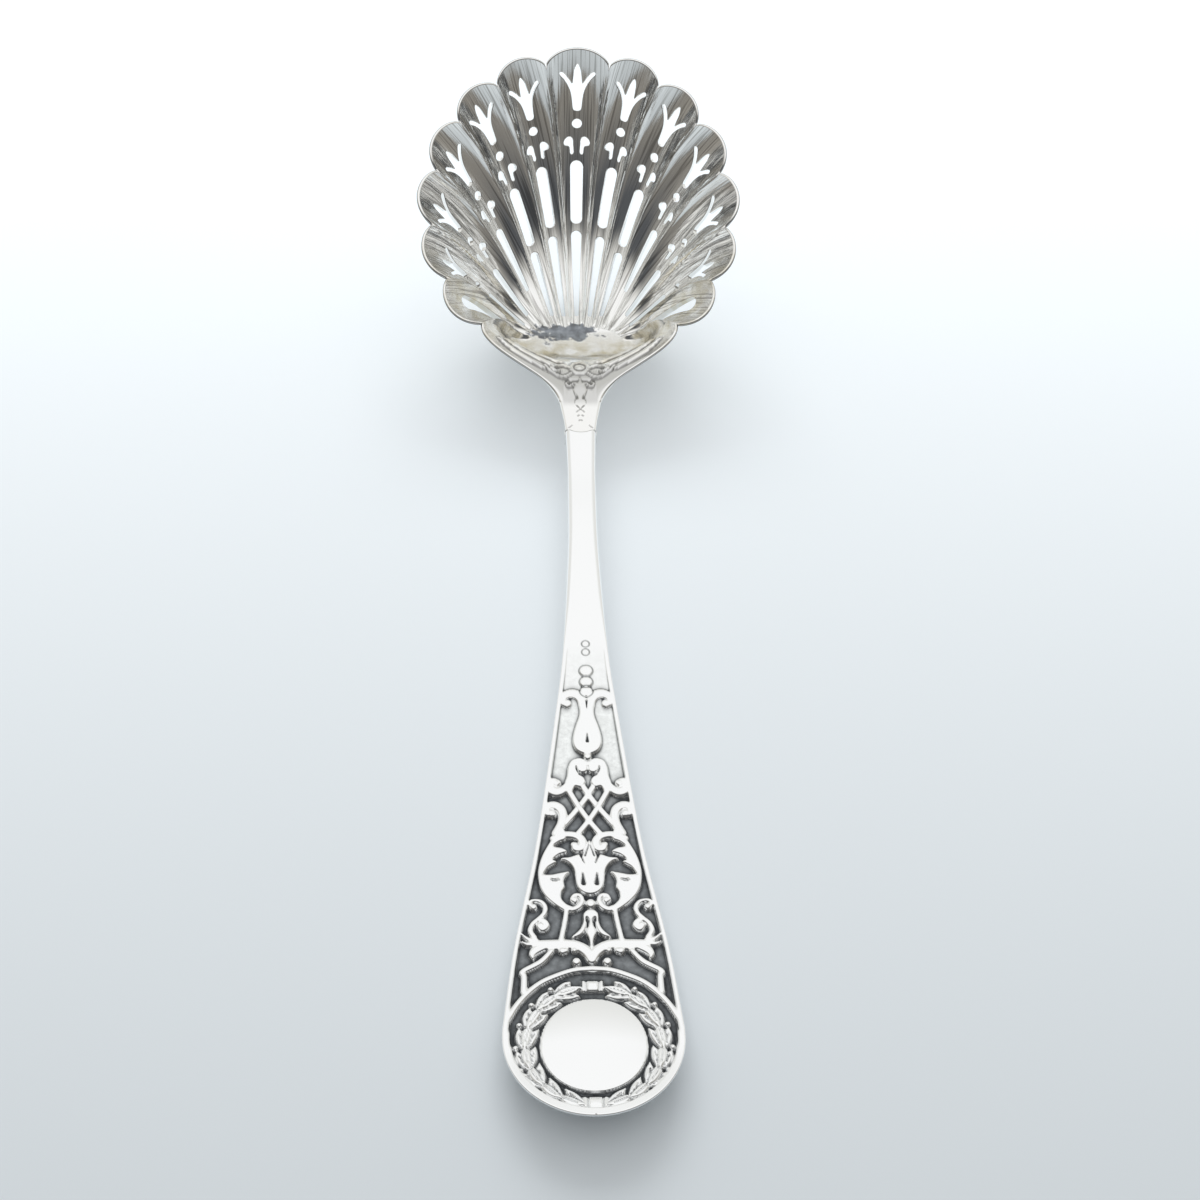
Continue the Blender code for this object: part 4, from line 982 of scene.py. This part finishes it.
def top_height(x, y):
    """Height of the top face, how much of the ground shows at each point, and the punched rings.
    The ground starts flush with the stem and sinks towards the lyre."""
    sunk = ground_share(x, y)
    radius = np.hypot(x, y - DISC_Y)
    ornament = np.where(radius < RELIEF_STOPS, 0, relief(x, y))
    in_wreath = (radius < WREATH_OUTSIDE) & (radius > WREATH_INSIDE)
    ornament = np.maximum(ornament, np.where(in_wreath, wreath(x, y), 0))
    disc = ease((DISC_RADIUS - radius) / 0.16) * (0.72 + 0.62 * (1 - (radius / DISC_RADIUS) ** 2))
    raised = np.maximum(ornament, np.where(radius < DISC_RADIUS, disc, 0))
    rings = sum(np.exp(-((np.hypot(x, y - c) - r) / RING_HALF_WIDTH) ** 2) for c, r in RINGS)
    rings = np.clip(rings, 0, 1)
    depth = GROUND_DEPTH * (0.2 + 0.8 * ease((-22.0 - y) / 18.0))
    height = smooth(y, HANDLE_TOP) - depth * sunk * (1 - raised) - RING_DEPTH * rings
    return height, sunk * np.clip(1 - 1.6 * raised, 0, 1), rings


def tongue_under(y):
    """Height of the tongue's underside, a straight slope from its end up to the neck."""
    run = (y - TONGUE_END[1]) / (NECK_Y - TONGUE_END[1])
    return TONGUE_END[2] + run * (NECK[2] - TONGUE_END[2]) - UNDER_TONGUE


# rows of points along the handle: heel, seat, the step where the tongue ends, stem, blade, round end
rows_y = np.concatenate((
    np.linspace(HEEL_END_Y, NECK_Y, 25), np.linspace(NECK_Y, STEP_Y + 0.02, 6)[1:], [STEP_Y, STEP_Y - 0.04],
    np.linspace(STEP_Y - 0.1, FINE_ROWS_Y, 60), np.arange(FINE_ROWS_Y - 0.2, END_CENTRE_Y, -FINE_ROW_STEP),
    END_CENTRE_Y - END_RADIUS * np.sin(np.linspace(0, 0.4995, 97) * math.pi)))
seat, heel = rows_y > STEP_Y, rows_y > NECK_Y
share = np.clip((HEEL_END_Y - rows_y) / (HEEL_END_Y - NECK_Y), 0, 1)
heel_wide = HEEL_END_HALF_WIDTH + share * (HEEL_HALF_WIDTH - HEEL_END_HALF_WIDTH)
wide = np.where(heel, heel_wide, np.where(seat, SEAT_HALF_WIDTH, half_width(rows_y)))
heel_back = HEEL_END_BACK + share * (SEAT_BACK - HEEL_END_BACK)
back = np.where(heel, heel_back, np.where(seat, SEAT_BACK, smooth(rows_y, HANDLE_BACK)))
# the heel lies against the line down the middle of the bowl's front and thins out along it
line_t = np.linspace(0, 1, 300)
line = front_wall(np.full_like(line_t, 2.0), 1, line_t)
heel_top = np.maximum(np.interp(rows_y, line[::-1, 1], line[::-1, 2]) - UNDER_FRONT, back + 0.5)
back = back + np.where(heel, heel_top - HEEL_END_THICKNESS - back, 0) * ease((rows_y - 25.5) / 8.0)
seat_top = np.where(heel, heel_top, tongue_under(rows_y) - SEAT_GAP)
round_off = EDGE_ROUND + (STEM_EDGE_ROUND - EDGE_ROUND) * ease((rows_y + 22.0) / 12.0)
round_off = np.minimum(round_off, 0.45 * np.maximum(wide, 1.0))
seat_round = SEAT_EDGE_ROUND + 0.6 * ease((rows_y - NECK_Y) / 3.0)
round_off = np.where(seat, np.minimum(round_off, seat_round), round_off)
tip = (rows_y < END_CENTRE_Y)[:, None]
lap_out = LAP_BOW * (ease((rows_y - 12) / 6.0) * (rows_y <= 24.0))[:, None]


def placed(share):
    """x and y of points at a share of the half width; at the round end the share shrinks y too."""
    x = share * wide[:, None]
    y = np.where(tip, END_CENTRE_Y + (rows_y[:, None] - END_CENTRE_Y) * share, rows_y[:, None])
    return x, y


# round each row run the carved face, the rounded edge and the belly, on the right and then the left
face_share = 1 - (round_off / np.where(tip[:, 0], END_RADIUS, wide))[:, None]
face_x, face_y = placed(face_share)
across = np.linspace(-1, 1, FACE_COLS)
face_x, face_y = across * face_x, face_y + 0 * across
carved, ground, rings = top_height(face_x, face_y)
lip = SEAT_LIP * (seat & ~heel)[:, None]
lipped = seat_top[:, None] + lip * ease((np.abs(face_x) - SEAT_LIP_X) / SEAT_LIP_SLOPE)
face_z = np.where(seat[:, None], lipped, carved)
face_y = face_y + lap_out * face_x ** 2
turn = np.linspace(0, math.pi / 2, 6)[1:]
edge_x, edge_y = placed(face_share + (1 - face_share) * np.sin(turn))
top_edge = np.where(seat[:, None], seat_top[:, None] + lip, smooth(edge_y, HANDLE_TOP))
edge_z = top_edge - round_off[:, None] * (1 - np.cos(turn))
edge_y = edge_y + lap_out * edge_x ** 2 * np.cos(turn)
around = np.concatenate(([0], turn))
under_x, under_y = placed(0.72 + 0.28 * np.cos(around))
belly_share = 0.4 + 0.42 * ease((-58.0 - rows_y[:, None]) / 14.0)
belly = back[:, None] + belly_share * (top_edge[:, -1:] - back[:, None])
under_z = belly - (belly - back[:, None]) * np.sin(around)
half_x, half_z = np.concatenate((edge_x, under_x), 1), np.concatenate((edge_z, under_z), 1)
edge_y = np.concatenate((edge_y, under_y), 1)
ring_x = np.concatenate((face_x, half_x, -half_x[:, ::-1], face_x[:, :1]), 1)
ring_y = np.concatenate((face_y, edge_y, edge_y[:, ::-1], face_y[:, :1]), 1)
ring_z = np.concatenate((face_z, half_z, half_z[:, ::-1], face_z[:, :1]), 1)
# the rows joined into a closed skin, with a fan of triangles over each end
points = np.stack((ring_x, ring_y, ring_z), -1)[:, :-1]
rows, cols = points.shape[:2]
index = np.arange(rows * cols).reshape(rows, cols)
wrapped = np.concatenate((index, index[:, :1]), 1)
a, b = wrapped[:-1, :-1].ravel(), wrapped[:-1, 1:].ravel()
c, d = wrapped[1:, 1:].ravel(), wrapped[1:, :-1].ravel()
faces = np.concatenate((np.stack((a, c, b), -1), np.stack((a, d, c), -1)))
caps = []
for row, flip in ((0, False), (rows - 1, True)):
    hub = len(points.reshape(-1, 3)) + len(caps)
    loop = np.stack((np.full(cols, hub), wrapped[row, :-1], wrapped[row, 1:]), -1)
    faces = np.concatenate((faces, loop[:, ::-1] if flip else loop))
    caps.append(points[row].mean(0))
handle = add_mesh("struck_handle", np.vstack((points.reshape(-1, 3), caps)), faces)

# how much of the oxidised ground shows, with painted shade close beside the relief and the punched rings dark
shown, ringed = np.zeros((rows, cols)), np.zeros((rows, cols))
shown[:, :FACE_COLS], ringed[:, :FACE_COLS] = ground, rings
beside = [shown * blurred(1 - shown, reach, 2, "same") for reach in (7, 14)]
along = -ring_y[:, :-1]
far = ease((along - 37.0) / 9.0)
dark = np.clip(2.0 * beside[0] + (0.3 + 0.2 * far) * beside[1], 0, 1) * ease((along - 22.0) / 4.0)
dark = np.maximum(dark, 0.8 * ringed)
shown = np.maximum(shown * (0.3 + 0.7 * ease((along - 23.0) / 10.0)), np.minimum(dark, shown))
for name, values in (("ground", np.maximum(shown, ringed)), ("painted_shade_and_dark_rings", dark), ("toward_end", far)):
    layer = handle.data.attributes.new(name, "FLOAT", "POINT")
    layer.data.foreach_set("value", np.concatenate((values.ravel(), [0.0, 0.0])))

# Oxidised sterling silver: polished tops, a stippled grey ground that darkens towards the end, and painted
# shade on the ground close beside the relief
struck, tree, shader = material("oxidised_sterling_silver")
place = node(tree, "TexCoord").outputs["Object"]
ground_fac, shade_fac, end_fac = (node(tree, "Attribute", attribute_name=name).outputs["Fac"]
                                   for name in ("ground", "painted_shade_and_dark_rings", "toward_end"))
# punch marks of the stippled ground, about 0.4 mm apart, in a mottle of about 0.7 mm
punch = node(tree, "TexVoronoi", {"Vector": place, "Scale": 2500.0})
grain = node(tree, "TexNoise", {"Vector": place, "Scale": 1500.0, "Detail": 3.0})
patina = node(tree, "Mix", {"Factor": end_fac, "A": linear("#EEF1F0"), "B": linear("#8C9093")},
              data_type="RGBA")
# painted shade on the ground close beside the relief, and the punched rings dark
shaded_ground = node(tree, "Mix", {"Factor": shade_fac, "A": patina, "B": linear("#45484B")}, data_type="RGBA")
even = node(tree, "MapRange", {"Value": end_fac, "To Min": 0.92, "To Max": 0.74})
speck = node(tree, "MapRange", {"Value": grain, "From Min": 0.35, "From Max": 0.7,
                                "To Min": even, "To Max": 1.1})
mottled = node(tree, "Mix", {"Factor": 1.0, "A": shaded_ground, "B": speck}, data_type="RGBA", blend_type="MULTIPLY")
colour = node(tree, "Mix", {"Factor": ground_fac, "A": linear("#F8F9F9"), "B": mottled}, data_type="RGBA")
matt = node(tree, "MapRange", {"Value": end_fac, "To Min": 0.22, "To Max": 0.42})
rough = node(tree, "MapRange", {"Value": ground_fac, "To Min": 0.10, "To Max": matt})
struck_in = node(tree, "MapRange", {"Value": end_fac, "To Min": 0.25, "To Max": 0.7})
depth = node(tree, "Math", {0: ground_fac, 1: struck_in}, operation="MULTIPLY")
dent = node(tree, "Bump", {"Height": punch, "Distance": 0.00006, "Strength": depth})
wire(tree, shader, {"Metallic": 1.0, "Base Color": colour, "Roughness": rough, "Normal": dent})
handle.data.materials.append(struck)
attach(handle, "root")
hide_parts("handle")


# Solder seam: the film of hard silver solder in the lap between the tongue and its seat. It is the
# CAD node itself, dull grey where its edge shows, in a mottle of about 1 mm.
solder, tree, shader = material("hard_silver_solder")
place = node(tree, "TexCoord").outputs["Object"]
mottle = node(tree, "TexNoise", {"Vector": place, "Scale": 900.0, "Detail": 3.0})
tone = node(tree, "Mix", {"Factor": mottle, "A": linear("#9A9C9B"), "B": linear("#C4C5C2")}, data_type="RGBA")
wire(tree, shader, {"Metallic": 1.0, "Base Color": tone, "Roughness": 0.4})
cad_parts["solder_seam"].data.materials.clear()
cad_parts["solder_seam"].data.materials.append(solder)


# Floor, light and camera: a pale table top under a soft dome of light, one wide window behind the
# spoon and a darker room towards the viewer, which the polished metal mirrors.
FLOOR_HALF, FLOOR_Z = 3.0, -0.0002
floor_mesh = bpy.data.meshes.new("table_top")
corners = [(x * FLOOR_HALF, y * FLOOR_HALF, FLOOR_Z) for x, y in ((-1, -1), (1, -1), (1, 1), (-1, 1))]
floor_mesh.from_pydata(corners, [], [(0, 1, 2, 3)])
table_top = bpy.data.objects.new("table_top", floor_mesh)
bpy.context.scene.collection.objects.link(table_top)
# Matt pale table paint with a painted glow of light, seen by the camera and in reflections, that makes it
# white behind the bowl and fades out in front of the handle
paint, tree, shader = material("pale_table_paint")
path = node(tree, "LightPath").outputs
seen = path["Is Camera Ray"]
for ray in ("Is Glossy Ray", "Is Transmission Ray"):
    seen = node(tree, "Math", {0: seen, 1: path[ray]}, operation="MAXIMUM")
along = node(tree, "SeparateXYZ", {0: node(tree, "TexCoord").outputs["Object"]}).outputs["Y"]
# painted light: the glow grows from none in front of the handle to full behind the bowl
lift = node(tree, "MapRange", {"Value": along, "From Min": -0.09, "From Max": 0.09, "To Max": 0.38})
glow = node(tree, "Math", {0: seen, 1: lift}, operation="MULTIPLY")
wire(tree, shader, {"Base Color": linear("#D5DCE1"), "Roughness": 0.9,
                    "Emission Color": linear("#F4F8FA"), "Emission Strength": glow})
floor_mesh.materials.append(paint)

world = bpy.data.worlds.new("studio")
bpy.context.scene.world = world
world.use_nodes = True
tree = world.node_tree
way = node(tree, "TexCoord").outputs["Generated"]
level = node(tree, "SeparateXYZ", {0: way}).outputs
# a dome of light, brightest overhead and towards the window, greyer at the horizon
towards = node(tree, "VectorMath", {0: way, 1: (0.0, 0.3, 0.954)}, operation="DOT_PRODUCT")
dome = node(tree, "ValToRGB", {"Fac": node(tree, "MapRange", {"Value": towards, "From Min": -1.0})})
stops = dome.color_ramp.elements
stops[0].position, stops[0].color = 0.50, linear("#8D8982")
stops[1].position, stops[1].color = 0.90, linear("#FFFFFF")
for position, code in ((0.70, "#ACA9A3"), (0.80, "#DAD9D6")):
    stops.new(position).color = linear(code)
# the darker side of the room behind the camera, between the ceiling and the table
below = node(tree, "MapRange", {"Value": level["Z"], "From Min": 0.82, "From Max": 0.60},
             interpolation_type="SMOOTHSTEP")
above = node(tree, "MapRange", {"Value": level["Z"], "From Min": 0.04, "From Max": 0.40, "To Min": 0.15})
behind = node(tree, "MapRange", {"Value": level["Y"], "From Min": -0.05, "From Max": -0.62})
dark = below
for limit in (above, behind):
    dark = node(tree, "Math", {0: dark, 1: limit}, operation="MULTIPLY")
room = node(tree, "Mix", {"Factor": dark, "A": dome, "B": linear("#55575A")}, data_type="RGBA")
# the paler wall under the window
under = node(tree, "MapRange", {"Value": level["Z"], "From Min": 0.74, "From Max": 0.60})
facing = node(tree, "MapRange", {"Value": level["Y"], "From Min": 0.15, "From Max": 0.4})
wall = node(tree, "Math", {0: under, 1: facing}, operation="MULTIPLY")
room = node(tree, "Mix", {"Factor": wall, "A": room, "B": linear("#E8E8E5")}, data_type="RGBA")
wire(tree, tree.nodes["Background"], {"Color": room, "Strength": 1.0})

window = bpy.data.lights.new("window", "AREA")
window.shape = "RECTANGLE"
window.size, window.size_y = 0.8, 0.5
window.energy = 5.6
window_object = bpy.data.objects.new("window", window)
window_object.matrix_world = (Matrix.Translation((-0.05, 0.88, 0.66))
                              @ Matrix.Rotation(math.radians(-53), 4, "X"))
window_object.visible_glossy = False
bpy.context.scene.collection.objects.link(window_object)

# the camera fitted to the photograph: its turn, its place in millimetres and its focal length in
# pixels of a picture as wide as the photograph
yaw, pitch, roll = 0.0541, math.radians(48), 0.0405
stand = np.array((-5.8312, -158.2704 + SHIFT_Y, 167.8849)) * MM
focal_pixels, picture_pixels = 1648.47, 1200
ahead = np.array((math.sin(yaw) * math.cos(pitch), math.cos(yaw) * math.cos(pitch), -math.sin(pitch)))
level = np.array((math.cos(yaw), -math.sin(yaw), 0.0))
above = np.cross(level, ahead)
right = math.cos(roll) * level + math.sin(roll) * above
upward = -math.sin(roll) * level + math.cos(roll) * above
turned = np.stack((right, upward, -ahead), -1)
lens = bpy.data.cameras.new("camera")
lens.sensor_width = 36.0
lens.lens = focal_pixels / picture_pixels * lens.sensor_width
camera = bpy.data.objects.new("camera", lens)
camera.matrix_world = Matrix([(*row, s) for row, s in zip(turned, stand)] + [(0, 0, 0, 1)])
bpy.context.scene.collection.objects.link(camera)
bpy.context.scene.camera = camera
bpy.context.scene.view_settings.view_transform = "Standard"
